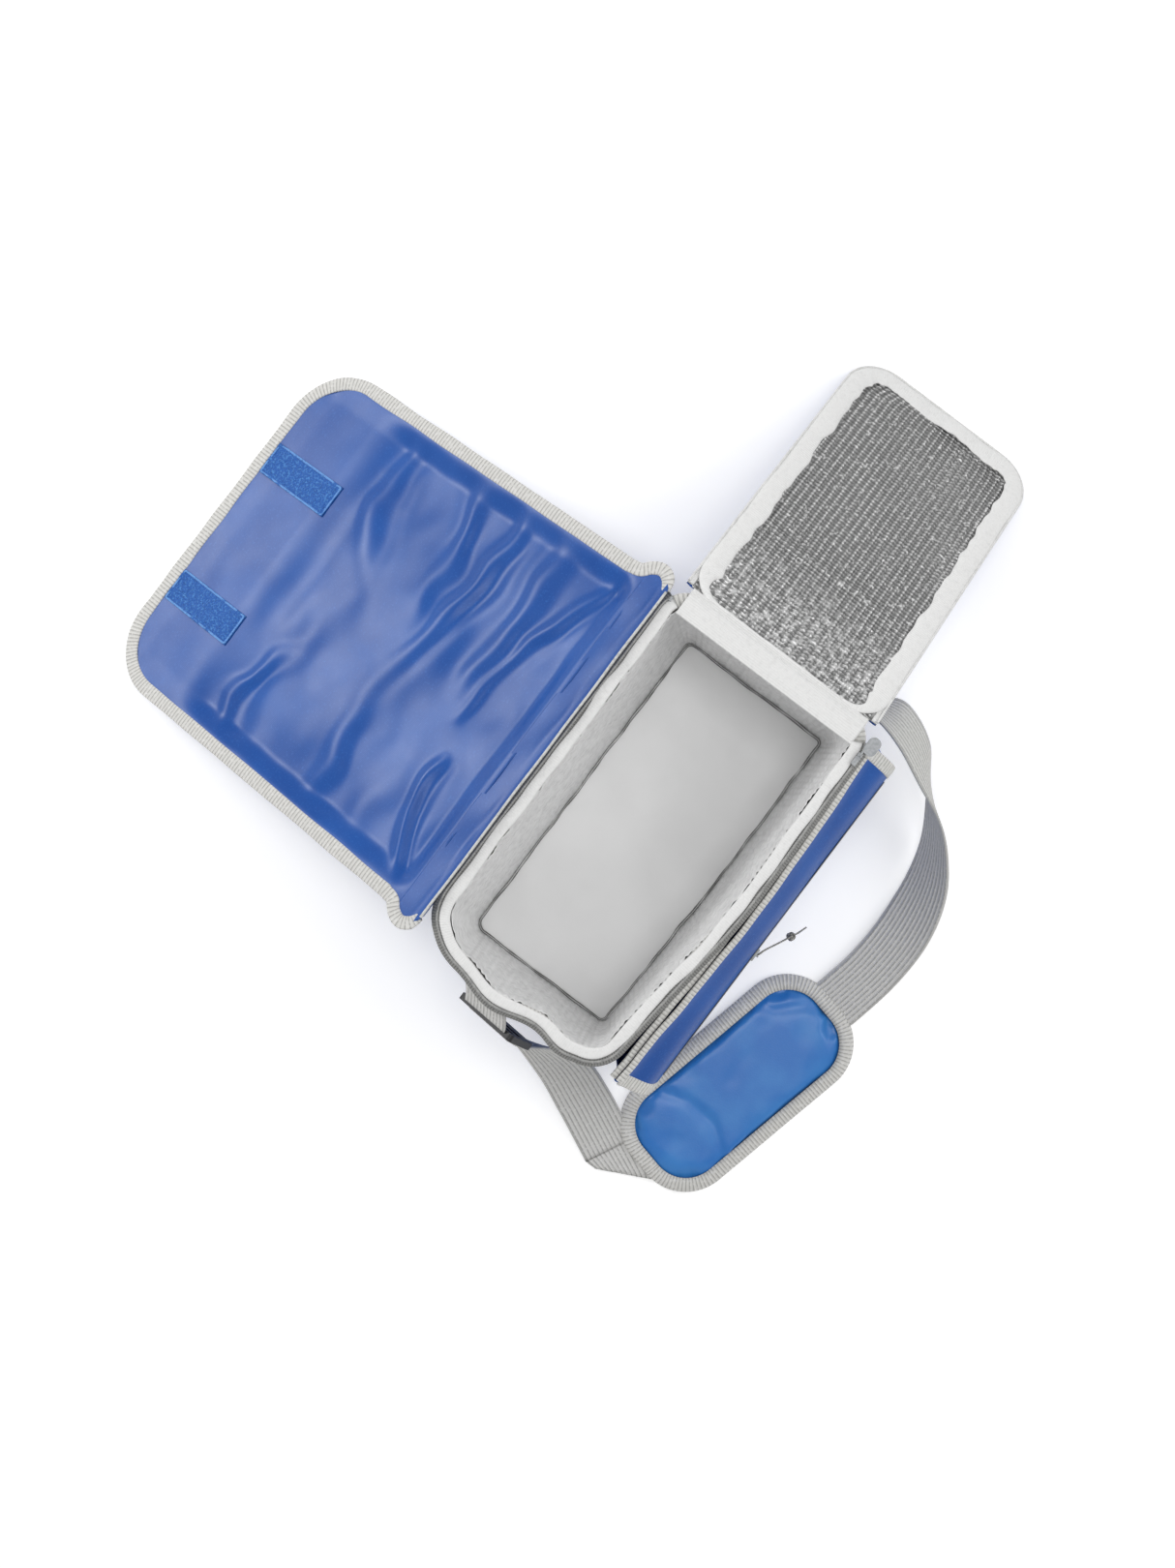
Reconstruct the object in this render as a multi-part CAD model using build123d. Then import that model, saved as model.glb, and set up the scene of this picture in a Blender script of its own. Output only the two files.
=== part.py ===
"""Soft insulated cooler bag with a zipped inner lid, a fold-over weather flap and a shoulder strap.

Millimetres, +Z up. The origin is on the underside of the base. +X points to the end where the inner lid
is hinged, +Y to the back wall where the flap is hinged, and -Y to the front pocket. Both covers lie open.
"""
import math
import os

from build123d import *

os.makedirs("parts", exist_ok=True)

# ---- Body: the liner's inner plan at the floor and at the rim, and the wall layers ----
RIM_Z = 143.0
BASE_PLAN = {"left": -126.0, "right": 126.0, "back": 49.0, "front": -70.0, "front_left": -66.0}
RIM_PLAN = {"left": -129.0, "right": 130.0, "back": 67.0, "front": -73.0, "front_left": -63.0}
BEND_X = -10.0            # where the front wall starts to lean back towards its left corner
BEND_RADIUS = 500.0
CORNER_RADIUS = 12.0
BACK_LEFT_RADIUS = 26.0
GAP = 0.1                 # between the sewn layers
LINER = 0.5
FOAM = 5.0
SHELL = 0.8
LINER_OUT = LINER
FOAM_OUT = LINER_OUT + GAP + FOAM
SHELL_OUT = FOAM_OUT + GAP + SHELL
BOARD = 2.0
BASE_FOAM = 6.0
BOARD_Z = SHELL + GAP
BASE_FOAM_Z = BOARD_Z + BOARD + GAP
FLOOR_Z = BASE_FOAM_Z + BASE_FOAM + GAP + LINER

# ---- Rim and main zip ----
BINDING = 1.4
BINDING_DROP = 10.0
BINDING_TOP = RIM_Z + GAP + BINDING
TAPE = 0.6
TAPE_Z = BINDING_TOP + 1.5
TAPE_OUT = 7.0
TAPE_IN = -2.0
COIL = 1.6
COIL_IN = 5.2             # the coil's inner side, outside the liner's plan
HINGE_END_X = 124.0       # the zip runs round three sides and stops short of the lid's hinge
SLIDER_X = (111.0, 120.0)     # the main slider is parked here, near the front right corner
SLIDER_TOP = TAPE_Z + TAPE + COIL + 1.3
PULL_AXIS = (118.5, SLIDER_TOP + 0.9)     # X and Z of the line the pull tab swings about
PULL_LENGTH = 15.0

# ---- Inner lid, drawn closed and then turned open ----
LID_AXIS = (136.5, 148.0)     # X and Z of the hinge line
LID_LENGTH = 268.0            # from the hinge line to the far coil
LID_FRONT = -77.9
LID_BACK = 71.9
LID_CORNER = 30.0
LID_START = 8.0               # the padded slab starts this far from the hinge line
LID_FABRIC_START = 4.4        # and its hinge fabric this far, clear of the rim when open
LID_EDGE = 4.0                # the zip tape shows this far beyond the slab
LID_TAPE_WIDTH = 15.0
LID_FOAM = 2.3
LID_DROP = 32.5               # degrees below level when open

# ---- Weather flap, drawn closed and then turned open ----
FLAP_AXIS = (78.0, 150.0)     # Y and Z of the hinge line
FLAP_LENGTH = 326.0
FLAP_WIDTH = 268.0
FLAP_CORNER = 46.0
FLAP_CREASE = 190.0
FLAP_START = 8.0
FLAP_RISE = 6.0               # the panel's inner face above the hinge line when closed
FLAP_DROP = 25.97
FLAP_BINDING_WIDTH = 10.0
FLAP_BINDING = 0.8
EAR = 6.0                     # the hinge strip is this much wider on each side
EAR_LENGTH = 14.0

# ---- Hook and loop ----
HOOK_WIDTH = 25.0
HOOK_LENGTH = 65.0
HOOK_X = (-59.5, 50.6)
HOOK_PILE = 1.3
LOOP_PILE = 1.0

# ---- Front pocket ----
POCKET_HALF = 128.0
POCKET_PROFILE = [      # Y and Z from the pocket's top edge down to its foot
    (-90.0, 138.0), (-104.0, 113.0), (-105.0, 92.0), (-109.5, 84.0), (-109.5, 26.0), (-90.0, 5.0),
]
POCKET_BULGE_Y = POCKET_PROFILE[3][0]
POCKET_ZIP_Y = POCKET_PROFILE[2][0]
POCKET_ZIP_Z = 102.0
POCKET_SKIN = 0.8
POCKET_SLIDER_X = -21.0

# ---- Shoulder strap and pad ----
WEBBING = 1.4
STRAP_WIDTH = 38.0
FRAME_THICK = 4.6
BUCKLE_CENTRE = (-156.0, 0.0, 106.0)
BUCKLE_SIZE = (50.0, 30.0)
BUCKLE_SLOTS = [(-11.5, -6.5), (-2.0, 3.5)]
RING_CENTRE = (145.0, -13.0, 100.0)
RING_SIZE = (48.0, 14.0)
RING_SLOTS = [(-4.0, 4.0)]
LEFT_ACROSS = (0, 0.85, -0.53)        # the webbing's width direction where it meets the buckle
RIGHT_ACROSS = (0, 0.3, -0.954)       # and where it meets the ring
LEFT_TAB = [
    ((-138.4, 14.0, 130.5), LEFT_ACROSS),
    ((-143.5, 11.0, 125.5), LEFT_ACROSS),
    ((-152.9, 8.6, 120.4), LEFT_ACROSS),
]
RIGHT_TAB = [
    ((138.8, 7.0, 104.0), RIGHT_ACROSS),
    ((139.6, 1.0, 103.0), RIGHT_ACROSS),
    ((143.6, -2.6, 102.0), RIGHT_ACROSS),
]
LEFT_RUN = [
    ((-159.3, 3.0, 111.0), LEFT_ACROSS),
    ((-159.4, -9.0, 91.6), LEFT_ACROSS),
    ((-158.5, -32.0, 63.0), (-0.4, 0.75, -0.5)),
    ((-162.5, -58.0, 38.0), (-0.75, 0.55, -0.3)),
    ((-174.0, -84.0, 18.0), (-0.88, 0.46, -0.1)),
    ((-185.0, -106.0, 7.0), (-0.89, 0.45, 0)),
    ((-192.7, -121.5, 2.9), (-0.89, 0.45, 0)),
    ((-194.5, -125.1, 2.7), (-0.89, 0.45, 0)),
]
RIGHT_RUN = [
    ((149.0, -11.0, 100.4), RIGHT_ACROSS),
    ((150.4, -23.0, 96.5), RIGHT_ACROSS),
    ((153.0, -48.0, 92.0), (0.25, 0.2, -0.93)),
    ((157.0, -78.0, 90.5), (0.5, 0.1, -0.85)),
    ((157.5, -98.0, 86.0), (0.72, 0.1, -0.68)),
    ((148.5, -126.0, 64.0), (0.7, 0.1, -0.7)),
    ((131.0, -152.0, 42.0), (0.35, 0.35, -0.86)),
    ((110.0, -172.0, 27.5), (0.15, 0.5, -0.85)),
    ((84.0, -185.0, 20.5), (0.12, 0.75, -0.62)),
    ((52.0, -192.0, 12.5), (0.05, 0.95, -0.3)),
    ((20.0, -192.0, 7.0), (-0.02, 1, -0.06)),
    ((-12.6, -186.0, 5.0), (0.22, 0.975, 0)),
]
# The left run lies flat beside the pad, turns over along a fold and goes back under itself
FOLD_LINE = [(-209.0, -121.0), (-190.0, -158.0)]
FOLD_TOP = [(-209.6, -113.0), (-175.8, -130.0), FOLD_LINE[1], FOLD_LINE[0]]
FOLD_UNDER = [FOLD_LINE[0], (-185.4, -125.4), (-186.0, -158.0), FOLD_LINE[1]]
FOLD_TOP_Z = 2.0
FOLD_UNDER_Z = 0.3

PAD_CENTRE = (-102.0, -164.0)
PAD_ANGLE = -13.0
PAD_LENGTH = 178.0
PAD_WIDTH = 88.0
PAD_CORNER = 36.0
PAD_TOP = 10.5


def write(node, solid):
    """Write one sub-part to its STEP file."""
    export_step(solid, f"parts/{node}.step")


def mix(low, high, share):
    """The value a share of the way from low to high."""
    return low + (high - low) * share


def block(x, y, z):
    """A box from its (low, high) pairs."""
    size = (x[1] - x[0], y[1] - y[0], z[1] - z[0])
    return Pos(x[0], y[0], z[0]) * Box(*size, align=(Align.MIN, Align.MIN, Align.MIN))


def plate(points, radii, z_low, z_high):
    """A flat plate with rounded corners."""
    outline = make_face(FilletPolyline(*points, radius=radii, close=True))
    return extrude(Pos(0, 0, z_low) * outline, amount=z_high - z_low)


# ---- Body ----
def plan(z, grow):
    """The body's plan at height z, grow outside the liner's inner face."""
    share = z / RIM_Z
    side = {name: mix(BASE_PLAN[name], RIM_PLAN[name], share) for name in BASE_PLAN}
    left = side["left"] - grow
    right = side["right"] + grow
    back = side["back"] + grow
    front = side["front"] - grow
    points = [
        (left, side["front_left"] - grow),
        (BEND_X, front),
        (right, front),
        (right, back),
        (left, back),
    ]
    radii = [CORNER_RADIUS + grow, BEND_RADIUS, CORNER_RADIUS + grow, CORNER_RADIUS + grow,
             BACK_LEFT_RADIUS + grow]
    return Pos(0, 0, z) * make_face(FilletPolyline(*points, radius=radii, close=True))


def body_block(grow):
    """The tapered block inside the given layer, from the table to the rim."""
    return loft([plan(0, grow), plan(RIM_Z, grow)], ruled=True)


def level(z_low, z_high):
    """Everything between two heights."""
    return block((-300, 300), (-300, 300), (z_low, z_high))


def rim_ring(inner, outer, z_low, z_high):
    """A flat ring round the mouth."""
    ring = plan(RIM_Z, outer) - plan(RIM_Z, inner)
    return extrude(Pos(0, 0, z_low - RIM_Z) * ring, amount=z_high - z_low)


def side_wedges():
    """The four mitred regions that part a ring of wall into its panels."""
    reach = 80.0
    inset = 55.0
    left, right, back, front = -135.0, 135.0, 66.0, -73.0
    corners = {
        "front": [(left - reach, front - reach), (right + reach, front - reach),
                  (right - inset, front + inset), (left + inset, front + inset)],
        "right": [(right + reach, front - reach), (right + reach, back + reach),
                  (right - inset, back - inset), (right - inset, front + inset)],
        "back": [(right + reach, back + reach), (left - reach, back + reach),
                 (left + inset, back - inset), (right - inset, back - inset)],
        "left": [(left - reach, back + reach), (left - reach, front - reach),
                 (left + inset, front + inset), (left + inset, back - inset)],
    }
    return {side: extrude(make_face(Polyline(*points, close=True)), amount=RIM_Z + 10)
            for side, points in corners.items()}


def body():
    """Shell, foam, board, liner and rim binding."""
    liner_in = body_block(0)
    liner_out = body_block(LINER_OUT)
    foam_in = body_block(LINER_OUT + GAP)
    foam_out = body_block(FOAM_OUT)
    shell_in = body_block(FOAM_OUT + GAP)
    shell_out = body_block(SHELL_OUT)
    shell = (shell_out - shell_in) & level(BOARD_Z, RIM_Z)
    foam = (foam_out - foam_in) & level(BASE_FOAM_Z, RIM_Z)
    for side, wedge in side_wedges().items():
        write(f"shell_{side}", shell & wedge)
        write(f"foam_{side}", foam & wedge)
    write("shell_base", shell_out & level(0, SHELL))
    write("base_board", foam_out & level(BOARD_Z, BOARD_Z + BOARD))
    write("foam_base", liner_out & level(BASE_FOAM_Z, BASE_FOAM_Z + BASE_FOAM))
    tub = liner_out & level(FLOOR_Z - LINER, RIM_Z)
    write("foil_liner", tub - (liner_in & level(FLOOR_Z, RIM_Z + 1)))
    skirt_in = SHELL_OUT + 4 * GAP
    skirt = rim_ring(skirt_in, skirt_in + BINDING, RIM_Z - BINDING_DROP, BINDING_TOP)
    cap = rim_ring(-0.5, skirt_in + BINDING, RIM_Z + GAP, BINDING_TOP)
    lip = rim_ring(-0.5, 3.2, RIM_Z + GAP, TAPE_Z)
    write("rim_binding", skirt + cap + lip)


def zip_reach():
    """The three sides that the main zip runs round."""
    return block((-300, HINGE_END_X), (-300, 300), (0, 300))


def main_zip():
    """The body's half of the main zip, with a stop at each end."""
    coil_z = TAPE_Z + TAPE
    write("body_zip_tape", rim_ring(TAPE_IN, TAPE_OUT, TAPE_Z, coil_z) & zip_reach())
    write("body_zip_coil", rim_ring(COIL_IN, COIL_IN + COIL, coil_z, coil_z + COIL) & zip_reach())
    stop_x = (HINGE_END_X + GAP, HINGE_END_X + GAP + 3.0)
    front_y = RIM_PLAN["front"] - COIL_IN - COIL
    back_y = RIM_PLAN["back"] + COIL_IN
    write("body_zip_stops", Compound(children=[
        block(stop_x, (front_y, front_y + COIL), (BINDING_TOP, coil_z + COIL)),
        block(stop_x, (back_y, back_y + COIL), (BINDING_TOP, coil_z + COIL)),
    ]))


def main_slider():
    """The slider hooks round the tape's outer edge, and its oval pull swings on a bail."""
    y_out = RIM_PLAN["front"] - TAPE_OUT
    y_in = RIM_PLAN["front"] - COIL_IN + 0.1
    coil_z = TAPE_Z + TAPE
    profile = [
        (y_in, SLIDER_TOP), (y_in, coil_z + COIL + 0.15), (y_out - 0.2, coil_z + COIL + 0.15),
        (y_out - 0.2, TAPE_Z - 0.15), (y_out + 2.6, TAPE_Z - 0.15), (y_out + 2.6, TAPE_Z - 1.05),
        (y_out - 1.4, TAPE_Z - 1.05), (y_out - 1.4, SLIDER_TOP),
    ]
    section = Plane.YZ * make_face(Polyline(*profile, close=True))
    slider = Pos(SLIDER_X[0], 0, 0) * extrude(section, amount=SLIDER_X[1] - SLIDER_X[0])
    middle = (y_in + y_out - 1.4) / 2
    bail_x = (PULL_AXIS[0] - 1.2, PULL_AXIS[0] + 1.2)
    for y in (middle - 1.5, middle + 0.7):
        slider += block(bail_x, (y, y + 0.8), (SLIDER_TOP, SLIDER_TOP + 1.9))
    write("lid_zip_slider", slider)
    x0 = PULL_AXIS[0]
    tab = [(x0 + 2.4, y_out - 7.0), (x0 + PULL_LENGTH, y_out - 7.0), (x0 + PULL_LENGTH, y_out + 1.5),
           (x0 + 2.4, y_out + 1.5)]
    pull_z = (PULL_AXIS[1] - 0.6, PULL_AXIS[1] + 0.6)
    pull = plate(tab, [4.0] * 4, *pull_z)
    pull += block((x0 - 0.6, x0 + 7.0), (middle - 0.55, middle + 0.55), pull_z)
    write("lid_zip_pull", pull)


# ---- Inner lid ----
def lid_place():
    """Turn the closed lid open about its hinge line."""
    x, z = LID_AXIS
    return Pos(x, 0, z) * Rot(0, 180 + LID_DROP, 0) * Pos(-x, 0, -z)


def lid_plate(inset, start, z_low, z_high):
    """A layer of the closed lid, inset from its zipped edges and starting start from the hinge line."""
    x_start = LID_AXIS[0] - start
    x_end = LID_AXIS[0] - LID_LENGTH + inset
    low = LID_FRONT + inset
    high = LID_BACK - inset
    points = [(x_start, low), (x_start, high), (x_end, high), (x_end, low)]
    far = LID_CORNER - inset
    return plate(points, [0, 0, far, far], z_low, z_high)


def lid():
    """The lid's tape, coil, foil, foam, cover and hinge fabric, from the inside out."""
    coil_z = TAPE_Z + TAPE + COIL + GAP
    tape_z = coil_z + COIL + GAP
    foil_z = tape_z + TAPE + GAP
    foam_z = foil_z + LINER + GAP
    cover_z = foam_z + LID_FOAM + GAP
    place = lid_place()
    ring = lid_plate(0, LID_START, tape_z, tape_z + TAPE)
    ring -= lid_plate(LID_TAPE_WIDTH, LID_START - 1, tape_z - 1, foil_z)
    write("lid_zip_tape", place * ring)
    coil = lid_plate(0, LID_START, coil_z, coil_z + COIL)
    coil -= lid_plate(COIL, LID_START - 1, coil_z - 1, tape_z)
    write("lid_zip_coil", place * coil)
    write("lid_foil", place * lid_plate(LID_EDGE, LID_START, foil_z, foil_z + LINER))
    write("lid_foam", place * lid_plate(LID_EDGE, LID_START, foam_z, foam_z + LID_FOAM))
    write("lid_cover", place * lid_plate(LID_EDGE, LID_START, cover_z, cover_z + SHELL))
    hinge_x = (LID_AXIS[0] - LID_START - LID_TAPE_WIDTH, LID_AXIS[0] - LID_FABRIC_START)
    hinge_y = (LID_FRONT + LID_TAPE_WIDTH + GAP, LID_BACK - LID_TAPE_WIDTH - GAP)
    write("lid_hinge_fabric", place * block(hinge_x, hinge_y, (tape_z, tape_z + TAPE)))


# ---- Weather flap ----
def flap_place():
    """Turn the closed flap open about its hinge line."""
    y, z = FLAP_AXIS
    return Pos(0, y, z) * Rot(-180 - FLAP_DROP, 0, 0) * Pos(0, -y, -z)


def flap_plate(inset, start, end, rise_low, rise_high, far_round):
    """A layer of the closed flap between two distances from the hinge line."""
    y, z = FLAP_AXIS
    half = FLAP_WIDTH / 2 - inset
    points = [(-half, y - start), (half, y - start), (half, y - end), (-half, y - end)]
    far = FLAP_CORNER - inset if far_round else 0
    return plate(points, [0, 0, far, far], z + rise_low, z + rise_high)


def flap_binding(start, stop, far_round):
    """The folded tape round a panel's free edges, with a slot for the panel."""
    low = FLAP_RISE - FLAP_BINDING
    high = FLAP_RISE + SHELL + FLAP_BINDING
    past = 5.0
    far_open = stop - FLAP_BINDING_WIDTH if far_round else stop + past
    far_slot = stop - FLAP_BINDING if far_round else stop + past
    tape = flap_plate(0, start, stop, low, high, far_round)
    tape -= flap_plate(FLAP_BINDING_WIDTH, start - past, far_open, low - past, high + past, far_round)
    slot = (FLAP_RISE - GAP, FLAP_RISE + SHELL + GAP)
    tape -= flap_plate(FLAP_BINDING, start - past, far_slot, *slot, far_round)
    return tape


def flap():
    """The top and front panels, their bindings, the hinge strip and the hook strips."""
    place = flap_place()
    low = FLAP_RISE
    high = FLAP_RISE + SHELL
    join = FLAP_START + EAR_LENGTH
    edge = FLAP_BINDING + GAP
    write("flap_top_panel", place * flap_plate(edge, join, FLAP_CREASE, low, high, False))
    write("flap_top_binding", place * flap_binding(join, FLAP_CREASE, False))
    write("flap_front_panel", place * flap_plate(edge, FLAP_CREASE, FLAP_LENGTH - edge, low, high, True))
    write("flap_front_binding", place * flap_binding(FLAP_CREASE, FLAP_LENGTH, True))
    y, z = FLAP_AXIS
    half = FLAP_WIDTH / 2 + EAR
    strip = block((-half, half), (y - join + GAP, y - FLAP_START),
                  (z + low - FLAP_BINDING, z + high + FLAP_BINDING))
    write("flap_hinge_strip", place * strip)
    hook_y = y - FLAP_LENGTH + FLAP_BINDING_WIDTH + GAP
    hook_z = z + low - GAP
    hooks = [block((x - HOOK_WIDTH / 2, x + HOOK_WIDTH / 2), (hook_y, hook_y + HOOK_LENGTH),
                   (hook_z - HOOK_PILE, hook_z)) for x in HOOK_X]
    write("flap_hook_strips", Compound(children=[place * hook for hook in hooks]))


# ---- Front pocket ----
def pocket_skin(outer, inner, x_low, x_high):
    """A skin that follows the pocket's profile, between two distances outside it."""
    outside = [(y - outer, z) for y, z in POCKET_PROFILE]
    inside = [(y - inner, z) for y, z in reversed(POCKET_PROFILE)]
    section = Plane.YZ * make_face(Polyline(*outside, *inside, close=True))
    return Pos(x_low, 0, 0) * extrude(section, amount=x_high - x_low)


def cheek(x_low, wall_top, wall_foot):
    """The end of the pocket, from its front panel back to the wall."""
    front = [(y + POCKET_SKIN + GAP, z) for y, z in POCKET_PROFILE]
    foot_z = POCKET_PROFILE[-1][1]
    section = [*front, (wall_foot, foot_z), (wall_top, RIM_Z - BINDING_DROP - 7)]
    face = Plane.YZ * make_face(Polyline(*section, close=True))
    return Pos(x_low, 0, 0) * extrude(face, amount=POCKET_SKIN)


def pocket():
    """The panel, its gusset, the bindings, the zip and the loop strips."""
    half = POCKET_HALF
    top_y, top_z = POCKET_PROFILE[0]
    foot_y, foot_z = POCKET_PROFILE[-1]
    write("pocket_front_panel", pocket_skin(0, -POCKET_SKIN, -half, half))
    sole_y = BASE_PLAN["front"] - SHELL_OUT - 0.3
    sole = block((-half + POCKET_SKIN, half - POCKET_SKIN), (foot_y + POCKET_SKIN + GAP, sole_y),
                 (foot_z, foot_z + POCKET_SKIN))
    write("pocket_gusset", cheek(-half, -68.5, -68.5) + cheek(half - POCKET_SKIN, -79.5, -74.0) + sole)
    write("pocket_top_binding", block((-half, half), (top_y - 1.2, top_y + POCKET_SKIN + 1.2),
                                      (top_z + GAP, top_z + 3.0)))
    sides = [pocket_skin(0.9, GAP, low, low + 9.0) for low in (-half, half - 9.0)]
    write("pocket_side_bindings", Compound(children=sides))
    tape_half = 9.0
    tape_y = POCKET_ZIP_Y - GAP
    reach = half - 10.0
    tape = [block((-reach, reach), (tape_y - TAPE, tape_y), (POCKET_ZIP_Z + low, POCKET_ZIP_Z + high))
            for low, high in ((-tape_half, -GAP), (GAP, tape_half))]
    write("pocket_zip_tape", Compound(children=tape))
    coil_y = tape_y - TAPE
    write("pocket_zip_coil", block((-reach, reach), (coil_y - COIL, coil_y),
                                   (POCKET_ZIP_Z - COIL, POCKET_ZIP_Z + COIL)))
    loop_y = POCKET_BULGE_Y - GAP
    write("pocket_loop_strips", Compound(children=[
        block((x - HOOK_WIDTH / 2, x + HOOK_WIDTH / 2), (loop_y - LOOP_PILE, loop_y), (27.0, 83.0))
        for x in HOOK_X]))


def pocket_slider():
    """The slider on the pocket zip, with the cord that is knotted through its eye."""
    coil_y = POCKET_ZIP_Y - GAP - TAPE
    face_y = coil_y - COIL - 1.6
    x0 = POCKET_SLIDER_X
    profile = [(coil_y - 0.15, -3.6), (face_y, -3.6), (face_y, 3.6), (coil_y - 0.15, 3.6),
               (coil_y - 0.15, 2.0), (coil_y - COIL - 0.3, 2.0), (coil_y - COIL - 0.3, -2.0),
               (coil_y - 0.15, -2.0)]
    section = Plane.YZ * make_face(Polyline(*profile, close=True))
    slider = Pos(x0 - 4.5, 0, POCKET_ZIP_Z) * extrude(section, amount=9.0)
    slider += block((x0 - 0.6, x0 + 0.6), (face_y - 1.8, face_y), (POCKET_ZIP_Z - 3.0, POCKET_ZIP_Z + 1.0))
    write("pocket_zip_slider", slider)
    route = [
        (x0 + 0.6, face_y - 1.0, POCKET_ZIP_Z - 1.5),
        (x0 + 5.0, face_y - 2.6, POCKET_ZIP_Z - 5.0),
        (x0 + 11.0, face_y - 6.6, POCKET_ZIP_Z - 12.0),
        (x0 + 17.0, face_y - 10.6, POCKET_ZIP_Z - 20.0),
        (x0 + 22.0, face_y - 13.8, POCKET_ZIP_Z - 27.5),
    ]
    tail = [
        (x0 + 24.5, face_y - 15.6, POCKET_ZIP_Z - 31.0),
        (x0 + 29.0, face_y - 18.4, POCKET_ZIP_Z - 36.0),
        (x0 + 34.5, face_y - 20.8, POCKET_ZIP_Z - 40.5),
    ]
    cord = 1.8
    write("pocket_pull_cord", Compound(children=[tube(route, cord), tube(tail, cord)]))
    knot = Pos(*[(a + b) / 2 for a, b in zip(route[-1], tail[0])]) * Sphere(3.2)
    knot -= tube(route, cord + 0.02) + tube(tail, cord + 0.02)
    write("pocket_pull_knot", knot)


def tube(points, diameter):
    """A round cord along a route of straight runs joined by the largest arcs that they leave room for."""
    radii = []
    for before, here, after in zip(points, points[1:], points[2:]):
        first = Vector(*here) - Vector(*before)
        second = Vector(*after) - Vector(*here)
        turn = math.radians(first.get_angle(second))
        radii.append(0.45 * min(first.length, second.length) / math.tan(turn / 2))
    path = FilletPolyline(*points, radius=radii)
    print("cord radii", [round(radius, 1) for radius in radii], "length", round(path.length, 1))
    start = Plane(origin=path @ 0, z_dir=path % 0)
    return sweep(start * Circle(diameter / 2), path=path)


# ---- Shoulder strap ----
def webbing(stations, width=STRAP_WIDTH, thick=WEBBING):
    """A flat strap through stations of (centre, width direction)."""
    sections = []
    for number, (centre, across) in enumerate(stations):
        before = stations[max(number - 1, 0)][0]
        after = stations[min(number + 1, len(stations) - 1)][0]
        along = (Vector(*after) - Vector(*before)).normalized()
        x_dir = Vector(*across)
        x_dir = (x_dir - along * along.dot(x_dir)).normalized()
        sections.append(Plane(origin=centre, x_dir=x_dir, z_dir=along) * Rectangle(width, thick))
    strap = loft(sections[:2], ruled=True)
    for near, far in zip(sections[1:], sections[2:]):
        strap += loft([near, far], ruled=True)
    return strap


def slotted_frame(centre, across, outward, size, slots):
    """A flat frame for webbing, with slots given by their (low, high) along the strap."""
    plane = Plane(origin=centre, x_dir=across, z_dir=outward)
    width = size[0]
    outline = RectangleRounded(*size, 3.0)
    for low, high in slots:
        outline -= Pos(0, (low + high) / 2) * Rectangle(width - 9.0, high - low)
    return extrude(plane * outline, amount=FRAME_THICK / 2, both=True)


def flat_webbing(points, z_low, z_high):
    """A stretch of webbing lying flat, cut to a polygon."""
    return extrude(Pos(0, 0, z_low) * make_face(Polyline(*points, close=True)), amount=z_high - z_low)


def folded_end():
    """The end of the left run: its flat top layer, the turn along the fold and the layer beneath."""
    first, last = [Vector(*point) for point in FOLD_LINE]
    inward = (last - first).normalized().cross(Vector(0, 0, -1)) * WEBBING
    turn = [first, last, last + inward, first + inward]
    end = flat_webbing(FOLD_TOP, FOLD_TOP_Z, FOLD_TOP_Z + WEBBING)
    end += flat_webbing(FOLD_UNDER, FOLD_UNDER_Z, FOLD_UNDER_Z + WEBBING)
    end += flat_webbing(turn, FOLD_UNDER_Z, FOLD_TOP_Z + WEBBING)
    return end


def strap():
    """Anchor tabs, buckle, ring, the webbing and the shoulder pad."""
    write("anchor_tab_left", webbing(LEFT_TAB))
    write("ladder_lock", slotted_frame(BUCKLE_CENTRE, LEFT_ACROSS, (-1, 0, 0), BUCKLE_SIZE, BUCKLE_SLOTS))
    write("anchor_tab_right", webbing(RIGHT_TAB))
    write("strap_ring", slotted_frame(RING_CENTRE, RIGHT_ACROSS, (1, 0, 0), RING_SIZE, RING_SLOTS))
    write("strap_left", webbing(LEFT_RUN) + folded_end() - pad_plate(-GAP, -1, PAD_TOP))
    write("strap_right", webbing(RIGHT_RUN) - pad_plate(-GAP, -1, PAD_TOP))


def pad_plate(inset, z_low, z_high):
    """A layer of the shoulder pad, with deeply rounded ends."""
    half_x = PAD_LENGTH / 2 - inset
    half_y = PAD_WIDTH / 2 - inset
    radius = PAD_CORNER - inset
    points = [(-half_x, -half_y), (half_x, -half_y), (half_x, half_y), (-half_x, half_y)]
    return Pos(*PAD_CENTRE, 0) * Rot(0, 0, PAD_ANGLE) * plate(points, [radius] * 4, z_low, z_high)


def pad():
    """Cover, foam, backing and the binding round them."""
    write("pad_backing", pad_plate(2.0, 0.3, 1.3))
    write("pad_foam", pad_plate(5.0, 1.4, 8.4))
    write("pad_cover", pad_plate(5.0, 8.5, PAD_TOP))
    write("pad_binding", pad_plate(0, 0.0, 6.0) - pad_plate(4.9, -1, 7.0) - pad_plate(1.9, 0.2, 1.4))


body()
main_zip()
main_slider()
lid()
flap()
pocket()
pocket_slider()
strap()
pad()
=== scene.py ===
"""Looks for the insulated cooler bag: cloth, foil, tapes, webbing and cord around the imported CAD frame.

Metres, in the frame's own axes: +Z up, +X to the lid's hinge end, +Y to the flap's hinge, -Y to the pocket.
"""
import math

import bpy
import numpy as np
from mathutils import Matrix, Vector


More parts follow.
